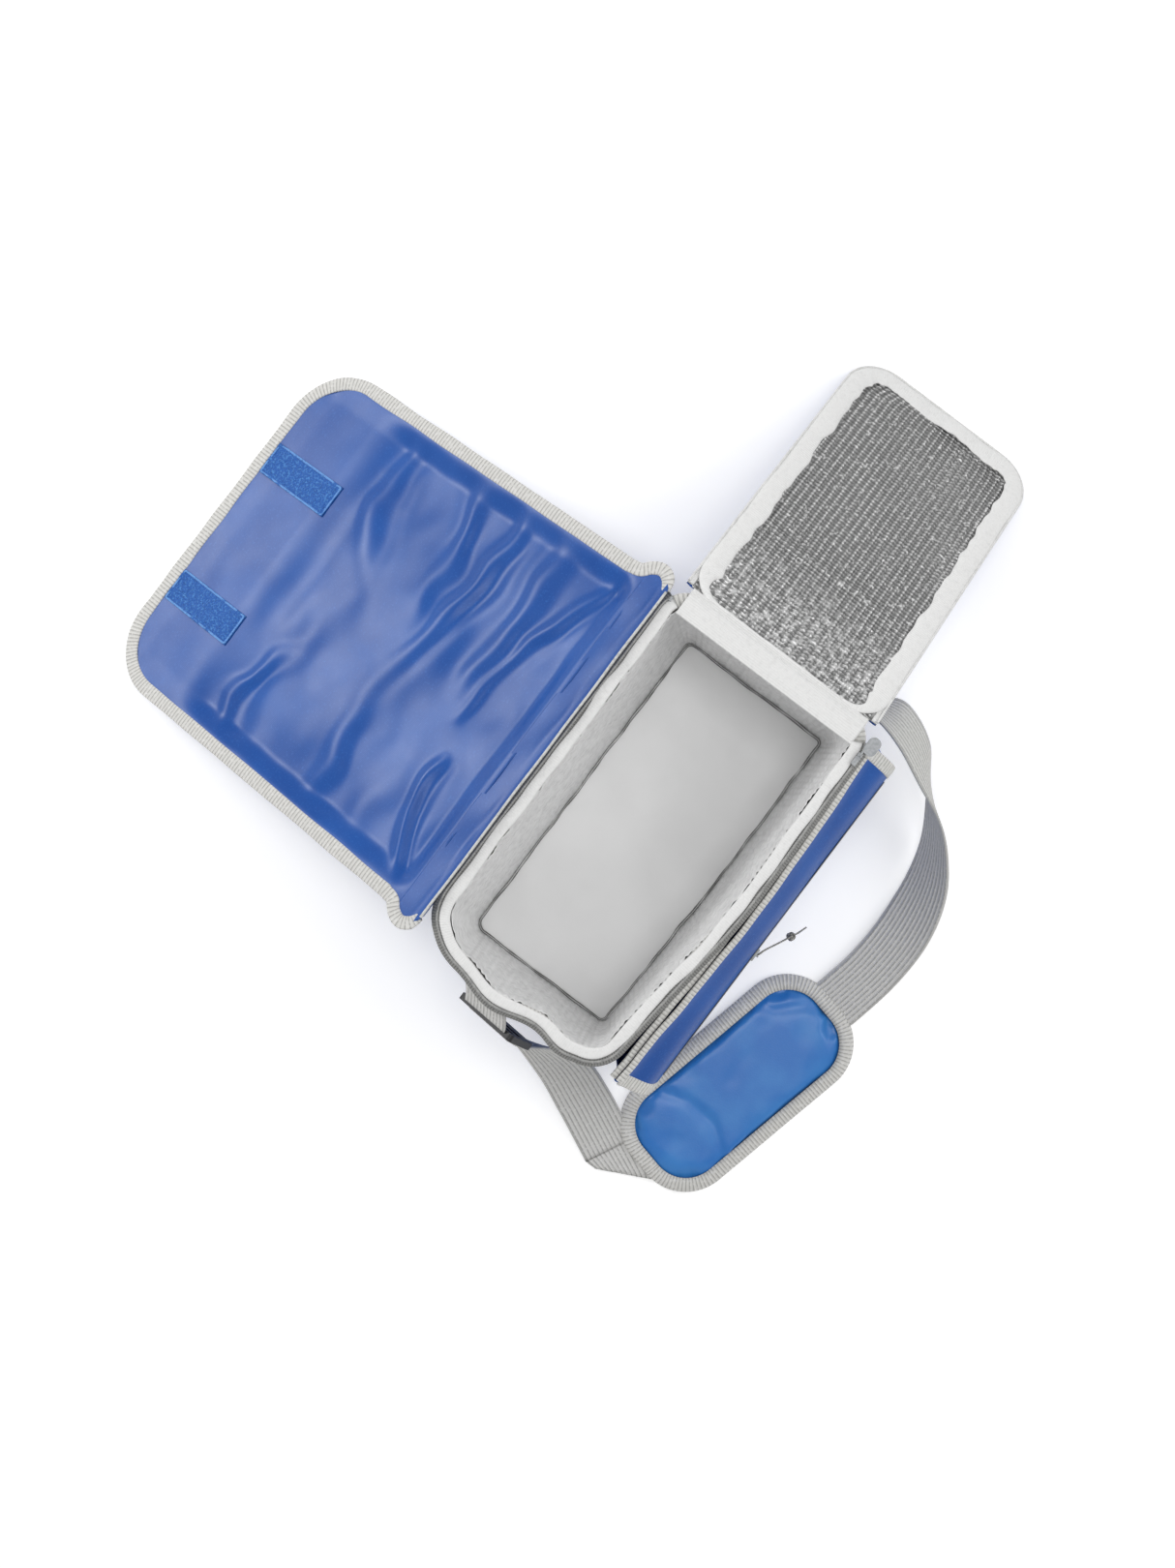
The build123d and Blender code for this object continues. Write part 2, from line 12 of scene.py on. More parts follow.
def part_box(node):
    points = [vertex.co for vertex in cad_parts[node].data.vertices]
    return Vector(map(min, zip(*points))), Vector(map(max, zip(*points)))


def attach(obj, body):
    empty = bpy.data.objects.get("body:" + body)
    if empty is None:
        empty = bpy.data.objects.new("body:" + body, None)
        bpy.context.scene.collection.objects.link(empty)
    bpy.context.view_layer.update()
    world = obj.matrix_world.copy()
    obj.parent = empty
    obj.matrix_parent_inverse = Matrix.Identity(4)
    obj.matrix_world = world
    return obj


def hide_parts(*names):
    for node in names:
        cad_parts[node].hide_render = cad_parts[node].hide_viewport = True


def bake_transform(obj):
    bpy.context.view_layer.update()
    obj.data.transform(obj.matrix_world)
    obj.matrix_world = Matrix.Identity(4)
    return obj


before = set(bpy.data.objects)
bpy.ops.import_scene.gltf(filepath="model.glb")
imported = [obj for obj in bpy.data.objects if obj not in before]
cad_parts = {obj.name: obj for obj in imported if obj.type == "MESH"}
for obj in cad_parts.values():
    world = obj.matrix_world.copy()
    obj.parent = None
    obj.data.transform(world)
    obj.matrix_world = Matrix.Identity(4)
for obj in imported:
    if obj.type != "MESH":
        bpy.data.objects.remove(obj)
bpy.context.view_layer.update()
MM = 0.001

# ---- Driving sizes ----
liner_low, liner_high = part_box("foil_liner")
tab_low, tab_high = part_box("anchor_tab_left")
mouth_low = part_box("pocket_top_binding")[0]
RIM_Z = liner_high.z
FLOOR_Z = liner_low.z + 0.5 * MM
BEND_RADIUS = 500 * MM      # the front wall's slight bend
CORNER = 12 * MM
BACK_CORNER = 26 * MM
CLOTH = 0.7 * MM            # thickness of the coated blue cloth
FOIL = 0.3 * MM
HOOK_AT = (-59.5, 50.6)     # the hook and loop strips' middles, in millimetres across
HOOK_START, HOOK_END = 251.2, 315.6
HOOK_HALF = 12.4
UPWARD = (0.0, 0.0, 1.0)
ALONG_X = (1.0, 0.0, 0.0)
ALONG_Y = (0.0, 1.0, 0.0)


# ---- Small mathematics ----
def unit(vectors):
    """Vectors of length one."""
    lengths = np.linalg.norm(vectors, axis=-1, keepdims=True)
    return vectors / np.maximum(lengths, 1e-12)


def ease(x, low, high):
    """0 below low, 1 above high and smooth between."""
    t = np.clip((x - low) / (high - low), 0, 1)
    return t * t * (3 - 2 * t)


def bell(x, centre, width):
    """A smooth hump of height one."""
    return np.exp(-((x - centre) / width) ** 2)


def ripples(points, size, seed, waves=7):
    """Soft unevenness between about -1 and 1 with features of the given size, the same for each seed."""
    source = np.random.default_rng(seed)
    total = np.zeros(points.shape[:-1])
    for _ in range(waves):
        direction = unit(source.normal(size=points.shape[-1]))
        pitch = size * source.uniform(1.4, 3.0)
        total += np.sin(points @ direction * (2 * math.pi / pitch) + source.uniform(0, 2 * math.pi))
    return total / math.sqrt(waves)


def crumple(points, size, seed):
    """Creased facets: 0 at the ridges between cells and about 1 at their middles."""
    source = np.random.default_rng(seed)
    flat = points.reshape(-1, points.shape[-1])
    low, high = flat.min(0), flat.max(0)
    count = max(8, int(np.prod((high - low) / size)))
    nearest = np.full((len(flat), 2), 1e9)
    for centre in source.uniform(low, high, size=(count, flat.shape[1])):
        distance = np.linalg.norm(flat - centre, axis=1)
        closer = distance < nearest[:, 0]
        nearest[:, 1] = np.where(closer, nearest[:, 0], np.minimum(nearest[:, 1], distance))
        nearest[:, 0] = np.where(closer, distance, nearest[:, 0])
    return np.clip((nearest[:, 1] - nearest[:, 0]) / size, 0, 1).reshape(points.shape[:-1])


def crease(points, route, width, taper=0.0):
    """A hump of height one along a route of 2-D points, which may die away towards its ends."""
    best = np.full(points.shape[:-1], 1e9)
    along = np.zeros(points.shape[:-1])
    route = np.array(route, float)
    for number, (start, end) in enumerate(zip(route[:-1], route[1:])):
        run = end - start
        share = np.clip(((points - start) @ run) / (run @ run), 0, 1)
        gap = np.linalg.norm(points - start - share[..., None] * run, axis=-1)
        along = np.where(gap < best, (number + share) / (len(route) - 1), along)
        best = np.minimum(best, gap)
    return np.exp(-(best / width) ** 2) * (1 - taper * (2 * along - 1) ** 2)


def reaches(path):
    """The distance from a path's start to each of its points."""
    return np.concatenate([[0], np.cumsum(np.linalg.norm(np.diff(path, axis=0), axis=1))])


def columns_at(at, along, table):
    """A table's columns, each read off at new places along."""
    return np.stack([np.interp(at, along, table[:, k]) for k in range(table.shape[1])], axis=1)


def smooth_path(points, count):
    """Evenly spaced points on a smooth curve through the given ones, with any number of columns."""
    points = np.array(points, float)
    padded = np.vstack([2 * points[0] - points[1], points, 2 * points[-1] - points[-2]])
    fine = []
    for a, b, c, d in zip(padded, padded[1:], padded[2:], padded[3:]):
        t = np.linspace(0, 1, 30, endpoint=False)[:, None]
        fine.append(0.5 * (2 * b + (c - a) * t + (2 * a - 5 * b + 4 * c - d) * t ** 2
                           + (3 * b - a - 3 * c + d) * t ** 3))
    fine = np.vstack([*fine, points[-1:]])
    along = reaches(fine[:, :3])
    return columns_at(np.linspace(0, along[-1], count), along, fine)


def rounded(corners, radii, arc_steps=14, side_steps=60):
    """A closed outline with rounded corners, counter-clockwise, always with the same number of points."""
    corners = np.array(corners, float)
    count = len(corners)
    arcs = []
    for n in range(count):
        corner, radius = corners[n], radii[n]
        back = unit(corners[n - 1] - corner)
        ahead = unit(corners[(n + 1) % count] - corner)
        half = math.acos(np.clip(back @ ahead, -1, 1)) / 2
        centre = corner + unit(back + ahead) * radius / math.sin(half)
        first = corner + back * radius / math.tan(half) - centre
        last = corner + ahead * radius / math.tan(half) - centre
        start = math.atan2(first[1], first[0])
        turn = (math.atan2(last[1], last[0]) - start) % (2 * math.pi)
        angles = start + turn * np.linspace(0, 1, arc_steps)
        arcs.append(centre + radius * np.stack([np.cos(angles), np.sin(angles)], axis=1))
    outline = []
    for n, arc in enumerate(arcs):
        outline.append(arc)
        share = np.linspace(0, 1, side_steps + 2)[1:-1, None]
        outline.append(arc[-1] * (1 - share) + arcs[(n + 1) % count][0] * share)
    return np.vstack(outline)


def box_outline(left, right, back, front, radii, arc_steps=14, side_steps=60):
    """A rounded rectangle, its sides in millimetres."""
    corners = np.array([(left, front), (right, front), (right, back), (left, back)]) * MM
    return rounded(corners, np.array(radii) * MM, arc_steps, side_steps)


def outward(outline):
    """Unit normals of a closed counter-clockwise outline."""
    along = unit(np.roll(outline, -1, 0) - np.roll(outline, 1, 0))
    return np.stack([along[:, 1], -along[:, 0]], axis=1)


def even(outline, step):
    """A closed outline resampled at about even steps."""
    closed = np.vstack([outline, outline[:1]])
    along = reaches(closed)
    return columns_at(np.linspace(0, along[-1], int(along[-1] / step), endpoint=False), along, closed)


def level(flat, height=0.0):
    """2-D points, or a grid of them, as 3-D points at a height."""
    return np.concatenate([flat, np.full((*flat.shape[:-1], 1), height)], axis=-1)


# ---- Finishes: procedural materials ----
RIBS_ALONG = "ribs along"     # ridges that run along the cloth
RIBS_ACROSS = "ribs across"
GRAIN = "grain"
CELLS = "cells"


def cloth_place(tree):
    """The output with the cloth's own coordinates."""
    place = tree.nodes.new("ShaderNodeUVMap")
    place.uv_map = "cloth"
    return place.outputs["UV"]


def pattern(tree, kind, pitch):
    """The 0 to 1 output of a pattern whose features are pitch metres in size."""
    if kind in (RIBS_ALONG, RIBS_ACROSS):
        wave = tree.nodes.new("ShaderNodeTexWave")
        wave.bands_direction = "Y" if kind == RIBS_ALONG else "X"
        wave.inputs["Scale"].default_value = 2 * math.pi / (20 * pitch)
        tree.links.new(cloth_place(tree), wave.inputs["Vector"])
        return wave.outputs["Fac"]
    place = tree.nodes.new("ShaderNodeTexCoord")
    texture = tree.nodes.new("ShaderNodeTexVoronoi" if kind == CELLS else "ShaderNodeTexNoise")
    texture.inputs["Scale"].default_value = 1 / pitch
    if kind == GRAIN:
        texture.inputs["Detail"].default_value = 4
    tree.links.new(place.outputs["Object"], texture.inputs["Vector"])
    return texture.outputs["Distance" if kind == CELLS else "Fac"]


def remap(tree, value, from_min=0, from_max=1, to_min=0, to_max=1):
    """A node that maps a value from one range to another."""
    node = tree.nodes.new("ShaderNodeMapRange")
    for name, end in (("From Min", from_min), ("From Max", from_max), ("To Min", to_min), ("To Max", to_max)):
        node.inputs[name].default_value = end
    tree.links.new(value, node.inputs["Value"])
    return node


def rgba(colour):
    """A colour with its alpha, from three numbers or one grey."""
    return (*colour, 1) if isinstance(colour, tuple) else (colour, colour, colour, 1)


def finish(name, colour, roughness, metallic=0.0, sheen=0.0, coat=0.0, tints=(), bumps=(), rough_vary=0.0,
           specular=0.5):
    """A material. Tints are (colour, kind, pitch, low, high) mixed over the base, and may end with the two
    distances along the cloth between which they fade out. Bumps are (kind, pitch, height)."""
    material = bpy.data.materials.new(name)
    material.use_nodes = True
    tree = material.node_tree
    shader = tree.nodes["Principled BSDF"]
    for socket, value in (("Base Color", rgba(colour)), ("Roughness", roughness), ("Metallic", metallic),
                          ("Specular IOR Level", specular), ("Sheen Weight", sheen), ("Sheen Roughness", 0.4),
                          ("Coat Weight", coat), ("Coat Roughness", 0.25)):
        shader.inputs[socket].default_value = value
    base = None
    for tint, kind, pitch, low, high, *fade in tints:
        spread = remap(tree, pattern(tree, kind, pitch), low, high)
        if fade:
            split = tree.nodes.new("ShaderNodeSeparateXYZ")
            tree.links.new(cloth_place(tree), split.inputs["Vector"])
            strength = remap(tree, split.outputs["X"], *fade, 1, 0)
            tree.links.new(strength.outputs["Result"], spread.inputs["To Max"])
        mix = tree.nodes.new("ShaderNodeMix")
        mix.data_type = "RGBA"
        mix.inputs["A"].default_value = rgba(colour)
        mix.inputs["B"].default_value = rgba(tint)
        tree.links.new(spread.outputs["Result"], mix.inputs["Factor"])
        if base is not None:
            tree.links.new(base, mix.inputs["A"])
        base = mix.outputs["Result"]
    if base is not None:
        tree.links.new(base, shader.inputs["Base Color"])
    if rough_vary:
        spread = remap(tree, pattern(tree, GRAIN, 20 * MM), 0, 1, roughness - rough_vary, roughness + rough_vary)
        tree.links.new(spread.outputs["Result"], shader.inputs["Roughness"])
    normal = None
    for kind, pitch, height in bumps:
        bump = tree.nodes.new("ShaderNodeBump")
        bump.inputs["Distance"].default_value = height
        tree.links.new(pattern(tree, kind, pitch), bump.inputs["Height"])
        if normal is not None:
            tree.links.new(normal, bump.inputs["Normal"])
        normal = bump.outputs["Normal"]
    if normal is not None:
        tree.links.new(normal, shader.inputs["Normal"])
    return material


WEAVE = [(RIBS_ALONG, 0.9 * MM, 0.014 * MM), (RIBS_ACROSS, 0.9 * MM, 0.014 * MM), (GRAIN, 1.6 * MM, 0.03 * MM)]
FINISHES = {
    "shell_fabric": finish(
        "blue_coated_nylon", (0.004, 0.064, 0.30), 0.36, bumps=WEAVE, rough_vary=0.05, specular=0.4,
        tints=[((0.007, 0.084, 0.36), GRAIN, 45 * MM, 0.4, 0.75), ((0.02, 0.12, 0.43), GRAIN, 1.3 * MM, 0.55, 0.85)]),
    "pad_satin": finish(
        "blue_satin", (0.022, 0.165, 0.52), 0.34, sheen=0.1, rough_vary=0.05,
        tints=[((0.05, 0.24, 0.60), GRAIN, 34 * MM, 0.4, 0.75)], bumps=[(GRAIN, 1.0 * MM, 0.06 * MM)]),
    "foil": finish(
        "ribbed_wall_foil", 0.93, 0.42, metallic=0.15, rough_vary=0.08,
        tints=[(0.72, GRAIN, 5 * MM, 0.4, 0.7), (0.86, CELLS, 2.6 * MM, 0.62, 0.9)],
        bumps=[(CELLS, 2.4 * MM, 0.25 * MM), (GRAIN, 1.0 * MM, 0.08 * MM)]),
    # Painted light in the lid foil's colour: lighter and darker stripes in step with the embossed ribs are painted
    # highlight and shade, the bright cells are painted glints, and the pale grain that fades out away from the hinge
    # is painted glints on the crushed foil.
    "lid_foil": finish(
        "embossed_lid_foil", 0.27, 0.30, metallic=0.65, rough_vary=0.08,
        tints=[(0.58, RIBS_ALONG, 5.2 * MM, 0.62, 1.0), (0.12, RIBS_ACROSS, 3.1 * MM, 0.70, 1.0),
               (0.12, GRAIN, 1.4 * MM, 0.56, 0.70), (0.75, CELLS, 2.2 * MM, 0.72, 0.95),
               (0.70, GRAIN, 4.5 * MM, 0.48, 0.66, 20 * MM, 75 * MM)],
        bumps=[(RIBS_ACROSS, 3.1 * MM, 0.5 * MM), (RIBS_ALONG, 5.2 * MM, 0.7 * MM), (GRAIN, 1.6 * MM, 0.25 * MM)]),
    "floor_foil": finish(
        "smooth_foil_floor", 0.70, 0.45, metallic=0.1, rough_vary=0.05,
        tints=[(0.63, GRAIN, 120 * MM, 0.4, 0.65)], bumps=[(GRAIN, 2.0 * MM, 0.04 * MM)]),
    "foam": finish(
        "closed_cell_foam", (0.70, 0.70, 0.67), 0.9,
        tints=[((0.6, 0.6, 0.58), CELLS, 1.2 * MM, 0.2, 0.6)], bumps=[(CELLS, 1.2 * MM, 0.2 * MM)]),
    "board": finish(
        "stiff_board", (0.03, 0.03, 0.034), 0.6,
        tints=[((0.05, 0.05, 0.055), GRAIN, 4 * MM, 0.4, 0.7)], bumps=[(GRAIN, 0.8 * MM, 0.05 * MM)]),
    # The darker stripes in step with the rib bumps are painted shade of the ribbed weave.
    "binding": finish(
        "ribbed_grey_binding", (0.64, 0.635, 0.61), 0.85, sheen=0.1,
        tints=[((0.36, 0.355, 0.34), RIBS_ACROSS, 2.6 * MM, 0.66, 1.0),
               ((0.74, 0.735, 0.72), GRAIN, 2.4 * MM, 0.5, 0.8)],
        bumps=[(RIBS_ACROSS, 2.6 * MM, 0.4 * MM), (GRAIN, 0.7 * MM, 0.12 * MM)]),
    "white_tape": finish(
        "white_cotton_tape", (0.76, 0.76, 0.755), 0.85, sheen=0.1,
        tints=[((0.70, 0.70, 0.695), GRAIN, 3 * MM, 0.5, 0.75)],
        bumps=[(RIBS_ACROSS, 1.6 * MM, 0.12 * MM), (GRAIN, 0.8 * MM, 0.15 * MM)]),
    # Dark grey tape that also serves as painted shade: on the rim it colours the white outer zip tape as the shaded
    # zone outside the rim, and its darker stripes in step with the rib bumps are painted shade of the ribs.
    "grey_tape": finish(
        "grey_zip_tape_and_rim_shade", (0.25, 0.25, 0.24), 0.8, sheen=0.1,
        tints=[(0.12, RIBS_ACROSS, 1.8 * MM, 0.5, 1.0), ((0.30, 0.30, 0.29), GRAIN, 2 * MM, 0.55, 0.8)],
        bumps=[(RIBS_ACROSS, 1.8 * MM, 0.2 * MM), (GRAIN, 0.7 * MM, 0.08 * MM)]),
    "zip_coil": finish(
        "moulded_coil", (0.34, 0.34, 0.33), 0.35,
        tints=[(0.22, GRAIN, 3 * MM, 0.4, 0.7)], bumps=[(GRAIN, 0.5 * MM, 0.02 * MM)]),
    # A paler copy of the coil finish for the lid's half of the main zip: painted light. The body's half of the same
    # zip keeps the darker coil finish as painted shade.
    "coil_painted_light": finish(
        "coil_painted_light", (0.70, 0.70, 0.69), 0.4,
        tints=[((0.58, 0.58, 0.57), GRAIN, 3 * MM, 0.4, 0.7)], bumps=[(GRAIN, 0.5 * MM, 0.02 * MM)]),
    "zip_metal": finish(
        "painted_slider", (0.26, 0.27, 0.28), 0.38, metallic=0.35, coat=0.1,
        tints=[((0.18, 0.19, 0.2), GRAIN, 2 * MM, 0.4, 0.7)], bumps=[(GRAIN, 0.6 * MM, 0.02 * MM)]),
    # The darker stripes in step with the rib bumps are painted shade of the ribbed weave.
    "webbing": finish(
        "ribbed_webbing", (0.58, 0.575, 0.56), 0.8, sheen=0.1,
        tints=[((0.31, 0.31, 0.30), RIBS_ALONG, 3.1 * MM, 0.66, 1.0),
               ((0.68, 0.675, 0.66), GRAIN, 1.5 * MM, 0.5, 0.8)],
        bumps=[(RIBS_ALONG, 3.1 * MM, 0.4 * MM), (RIBS_ACROSS, 1.2 * MM, 0.12 * MM)]),
    "black_plastic": finish(
        "black_acetal", (0.012, 0.012, 0.014), 0.42,
        tints=[((0.03, 0.03, 0.032), GRAIN, 2 * MM, 0.5, 0.8)], bumps=[(GRAIN, 0.9 * MM, 0.04 * MM)]),
    "hook_tape": finish(
        "hook_pile", (0.012, 0.10, 0.40), 0.75, sheen=0.1,
        tints=[((0.06, 0.22, 0.56), CELLS, 1.3 * MM, 0.5, 0.85), ((0.006, 0.06, 0.25), GRAIN, 1.0 * MM, 0.5, 0.7)],
        bumps=[(CELLS, 1.1 * MM, 0.5 * MM)]),
    "hook_edge": finish(
        "hook_selvedge", (0.12, 0.30, 0.66), 0.7, sheen=0.15,
        tints=[((0.03, 0.14, 0.42), GRAIN, 1.2 * MM, 0.5, 0.7)], bumps=[(GRAIN, 0.6 * MM, 0.15 * MM)]),
    # A dark strip finish that stands for the shade in the gaps where the liner's floor meets its walls: painted shade.
    "seam": finish(
        "seam_painted_shade", (0.13, 0.13, 0.127), 0.7,
        tints=[((0.20, 0.20, 0.19), GRAIN, 3 * MM, 0.5, 0.7)], bumps=[(GRAIN, 0.8 * MM, 0.1 * MM)]),
    "pale_edge": finish(
        "pale_edging", (0.60, 0.60, 0.58), 0.8,
        tints=[((0.42, 0.42, 0.40), GRAIN, 2 * MM, 0.5, 0.7)], bumps=[(GRAIN, 0.6 * MM, 0.1 * MM)]),
    "pad_backing": finish(
        "spacer_mesh", (0.20, 0.20, 0.205), 0.9,
        tints=[((0.08, 0.08, 0.085), CELLS, 1.8 * MM, 0.0, 0.5)], bumps=[(CELLS, 1.8 * MM, 0.3 * MM)]),
    "pull_cord": finish(
        "braided_cord", (0.10, 0.10, 0.095), 0.8, sheen=0.1,
        tints=[((0.36, 0.35, 0.33), CELLS, 1.0 * MM, 0.35, 0.6)], bumps=[(CELLS, 0.8 * MM, 0.15 * MM)]),
}


# ---- Making pieces ----
def piece(name, points, faces, corners_uv, slot, look=None, body=None, stands_for=()):
    """A mesh object with its finish. Its cloth coordinates are metres along (U) and across (V) the cloth."""
    mesh = bpy.data.meshes.new(name)
    mesh.from_pydata(points.reshape(-1, 3).tolist(), [], faces if isinstance(faces, list) else faces.tolist())
    mesh.polygons.foreach_set("use_smooth", [True] * len(mesh.polygons))
    if corners_uv is not None:
        layer = mesh.uv_layers.new(name="cloth")
        layer.data.foreach_set("uv", np.asarray(corners_uv, np.float32).ravel())
    made = bpy.data.objects.new(name, mesh)
    bpy.context.scene.collection.objects.link(made)
    made.data.materials.append(FINISHES[look or slot])
    if body:
        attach(made, body)
    if stands_for:
        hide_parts(*stands_for)
    return made


def arc_lengths(points, axis):
    """The mean distance along a grid's axis, starting at 0."""
    steps = np.linalg.norm(np.diff(points, axis=axis), axis=-1).mean(axis=1 - axis)
    return np.concatenate([[0], np.cumsum(steps)])


def grid(rows, cols, u, v, wrap_cols, base=0, flip=False):
    """Quads of a grid of points, and each corner's cloth coordinates."""
    r, c = np.meshgrid(np.arange(rows - 1), np.arange(cols if wrap_cols else cols - 1), indexing="ij")
    r, c = r.ravel(), c.ravel()
    ring = [(r, c), (r, c + 1), (r + 1, c + 1), (r + 1, c)]
    if flip:
        ring = ring[::-1]
    faces = np.stack([base + a * cols + b % cols for a, b in ring], axis=1)
    uv = np.stack([np.stack([v[a], u[b]], axis=1) for a, b in ring], axis=1)
    return faces, uv.reshape(-1, 2)


def normals_of(middle, closed):
    """Unit normals of a grid of points."""
    if closed:
        along = np.roll(middle, -1, 1) - np.roll(middle, 1, 1)
    else:
        along = np.gradient(middle, axis=1)
    return unit(np.cross(along, np.gradient(middle, axis=0)))


def add_edge(faces, uvs, ring, edge, turned):
    """The narrow faces that close a sheet's border."""
    size = len(ring[0])
    edge = [np.stack([np.broadcast_to(v, size), np.broadcast_to(u, size)], axis=1) for v, u in edge]
    if not turned:
        ring, edge = ring[::-1], edge[::-1]
    faces.append(np.stack(ring, axis=1)[:, ::-1])
    uvs.append(np.stack(edge, axis=1)[:, ::-1].reshape(-1, 2))


def sheet(name, middle, thick, slot, closed=False, **more):
    """A cloth piece of even thickness about a grid of points. Columns join up if closed."""
    rows, cols = middle.shape[:2]
    normals = normals_of(middle, closed)
    poor = np.linalg.norm(normals, axis=-1, keepdims=True) < 0.5        # the middle of a disk
    half = np.where(poor, unit(normals.mean(axis=(0, 1))), normals) * thick / 2
    points = np.concatenate([(middle + half).reshape(-1, 3), (middle - half).reshape(-1, 3)])
    around = np.concatenate([middle, middle[:, :1]], axis=1) if closed else middle
    u = arc_lengths(around, 1)
    v = arc_lengths(middle, 0)
    top, top_uv = grid(rows, cols, u, v, closed)
    low, low_uv = grid(rows, cols, u, v, closed, rows * cols, flip=True)
    faces, uvs = [top, low], [top_uv, low_uv]
    c = np.arange(cols if closed else cols - 1)
    for row, turned in ((0, True), (rows - 1, False)):
        a, b = row * cols + c, row * cols + (c + 1) % cols
        edge = [(v[row], u[c]), (v[row], u[c + 1]), (v[row] + thick, u[c + 1]), (v[row] + thick, u[c])]
        add_edge(faces, uvs, [a, b, b + rows * cols, a + rows * cols], edge, turned)
    if not closed:
        r = np.arange(rows - 1)
        for col, turned in ((0, False), (cols - 1, True)):
            a, b = r * cols + col, (r + 1) * cols + col
            edge = [(v[r], u[col]), (v[r + 1], u[col]), (v[r + 1], u[col] + thick), (v[r], u[col] + thick)]
            add_edge(faces, uvs, [a, b, b + rows * cols, a + rows * cols], edge, turned)
    return piece(name, points, np.vstack(faces), np.vstack(uvs), slot, **more)


def sweep(name, path, across, up, profile, slot, closed=False, **more):
    """A profile of (across, up) offsets, one loop for all or one per path point, swept along a path."""
    across, up = [np.broadcast_to(np.asarray(side, float), path.shape) for side in (across, up)]
    profile = np.array(profile, float)
    if profile.ndim == 2:
        profile = np.broadcast_to(profile, (len(path), *profile.shape))
    points = (path[:, None] + across[:, None] * profile[..., :1] + up[:, None] * profile[..., 1:])
    count, around = points.shape[:2]
    v = arc_lengths(np.concatenate([points, points[:1]]) if closed else points, 0)
    u = arc_lengths(np.concatenate([points, points[:, :1]], axis=1), 1)
    r, c = np.meshgrid(np.arange(count if closed else count - 1), np.arange(around), indexing="ij")
    r, c = r.ravel(), c.ravel()
    ring = [(r, c), (r, c + 1), (r + 1, c + 1), (r + 1, c)]
    faces = np.stack([(a % count) * around + b % around for a, b in ring], axis=1).tolist()
    uv = np.stack([np.stack([v[a], u[b]], axis=1) for a, b in ring], axis=1).reshape(-1, 2).tolist()
    if not closed:
        faces += [list(range(around)), [(count - 1) * around + k for k in range(around)][::-1]]
        uv += [[0, u[k]] for k in range(around)] + [[v[-1], u[k]] for k in reversed(range(around))]
    return piece(name, points, faces, np.array(uv), slot, **more)


def bar(width, thick, count=16, square=5.0):
    """The outline of a soft flat bar, as (across, up) offsets."""
    angle = np.linspace(0, 2 * math.pi, count, endpoint=False)
    x, y = np.cos(angle), np.sin(angle)
    return np.stack([np.sign(x) * np.abs(x) ** (2 / square) * width / 2,
                     np.sign(y) * np.abs(y) ** (2 / square) * thick / 2], axis=1)


def scaled(profile, wide, tall):
    """A profile for each point of a path, scaled across and up."""
    return profile[None] * np.stack(np.broadcast_arrays(wide, tall), axis=1)[:, None]


def teeth_path(path, across, up, step=0.45 * MM):
    """A path resampled finely enough for teeth."""
    along = reaches(path)
    at = np.arange(0, along[-1], step)
    fine = [columns_at(at, along, np.broadcast_to(table, path.shape)) for table in (path, across, up)]
    return fine[0], unit(fine[1]), unit(fine[2])


def zip_teeth(name, path, across, up, width, height, **more):
    """A zip's coil along a path: a tooth every four points."""
    path, across, up = teeth_path(path, across, up)
    swell = np.array([1.0, 0.86, 0.66, 0.86])[np.arange(len(path)) % 4]
    return sweep(name, path, across, up, scaled(bar(width, height, 8, 2), swell, swell), "zip_coil", **more)


# ---- Body: walls, liner, foam, shell ----
ARC_STEPS, SIDE_STEPS = 14, 130     # points on each of the plan's corners and sides
BEND_X = -10                        # where the front wall bends, in millimetres


def body_plan(left, right, back, front, front_left, corner=CORNER, back_corner=BACK_CORNER):
    """The body's inner plan, from its sides in millimetres."""
    corners = [(left, front_left), (BEND_X, front), (right, front), (right, back), (left, back)]
    radii = [corner, BEND_RADIUS, corner, corner, back_corner]
    return rounded(np.array(corners) * MM, radii, ARC_STEPS, SIDE_STEPS)


FOOT = body_plan(-126, 126, 49, -70, -66, 6.5 * MM, 9 * MM)      # the foil is pushed into its corners
RIM = body_plan(-129, 130, 67, -73, -63)
OUT = outward(RIM)
OUT_LEVEL = level(OUT)
AROUND = reaches(RIM)


def rim_sway():
    """How far the soft wall is pushed out at the rim. The strap's tab pulls the left wall out."""
    x, y = RIM[:, 0] / MM, RIM[:, 1] / MM
    left = ease(-x, 118, 127)
    front = ease(-y, 55, 64) * (1 - left)
    back = ease(y, 55, 66) * (1 - left)
    right = ease(x, 118, 128)
    pulled_at = (tab_low.y + tab_high.y) / 2 / MM
    slack_at = (pulled_at + liner_low.y / MM) / 2 - 10
    push = left * (8.0 * bell(y, pulled_at, 22) + 5.0 * bell(y, slack_at, 14))
    push += front * 2.0 * bell(x, 0, 70) + back * 1.3 + right * 1.2 * bell(y, 0, 35)
    return push * MM


SWAY = rim_sway()


def wall(heights, grow):
    """Points on the soft wall: grow outside the liner's inner face at each height."""
    heights = np.asarray(heights, float)
    share = (heights / RIM_Z)[:, None, None]
    grow = np.broadcast_to(grow, (len(heights), len(RIM)))[..., None]
    flat = FOOT * (1 - share) + RIM * share + OUT * (grow + SWAY[:, None] * np.clip(share, 0, 1.1) ** 2)
    tall = np.broadcast_to(heights[:, None, None], (*flat.shape[:2], 1))
    return np.concatenate([flat, tall], axis=2)


def wall_places(heights):
    """The distance round the wall and the height of each of its points."""
    return np.stack(np.broadcast_arrays(AROUND[None, :], heights[:, None]), axis=-1)


def rim_path(grow, z):
    """A path round the rim."""
    path = wall([RIM_Z], grow)[0]
    path[:, 2] = z
    return path


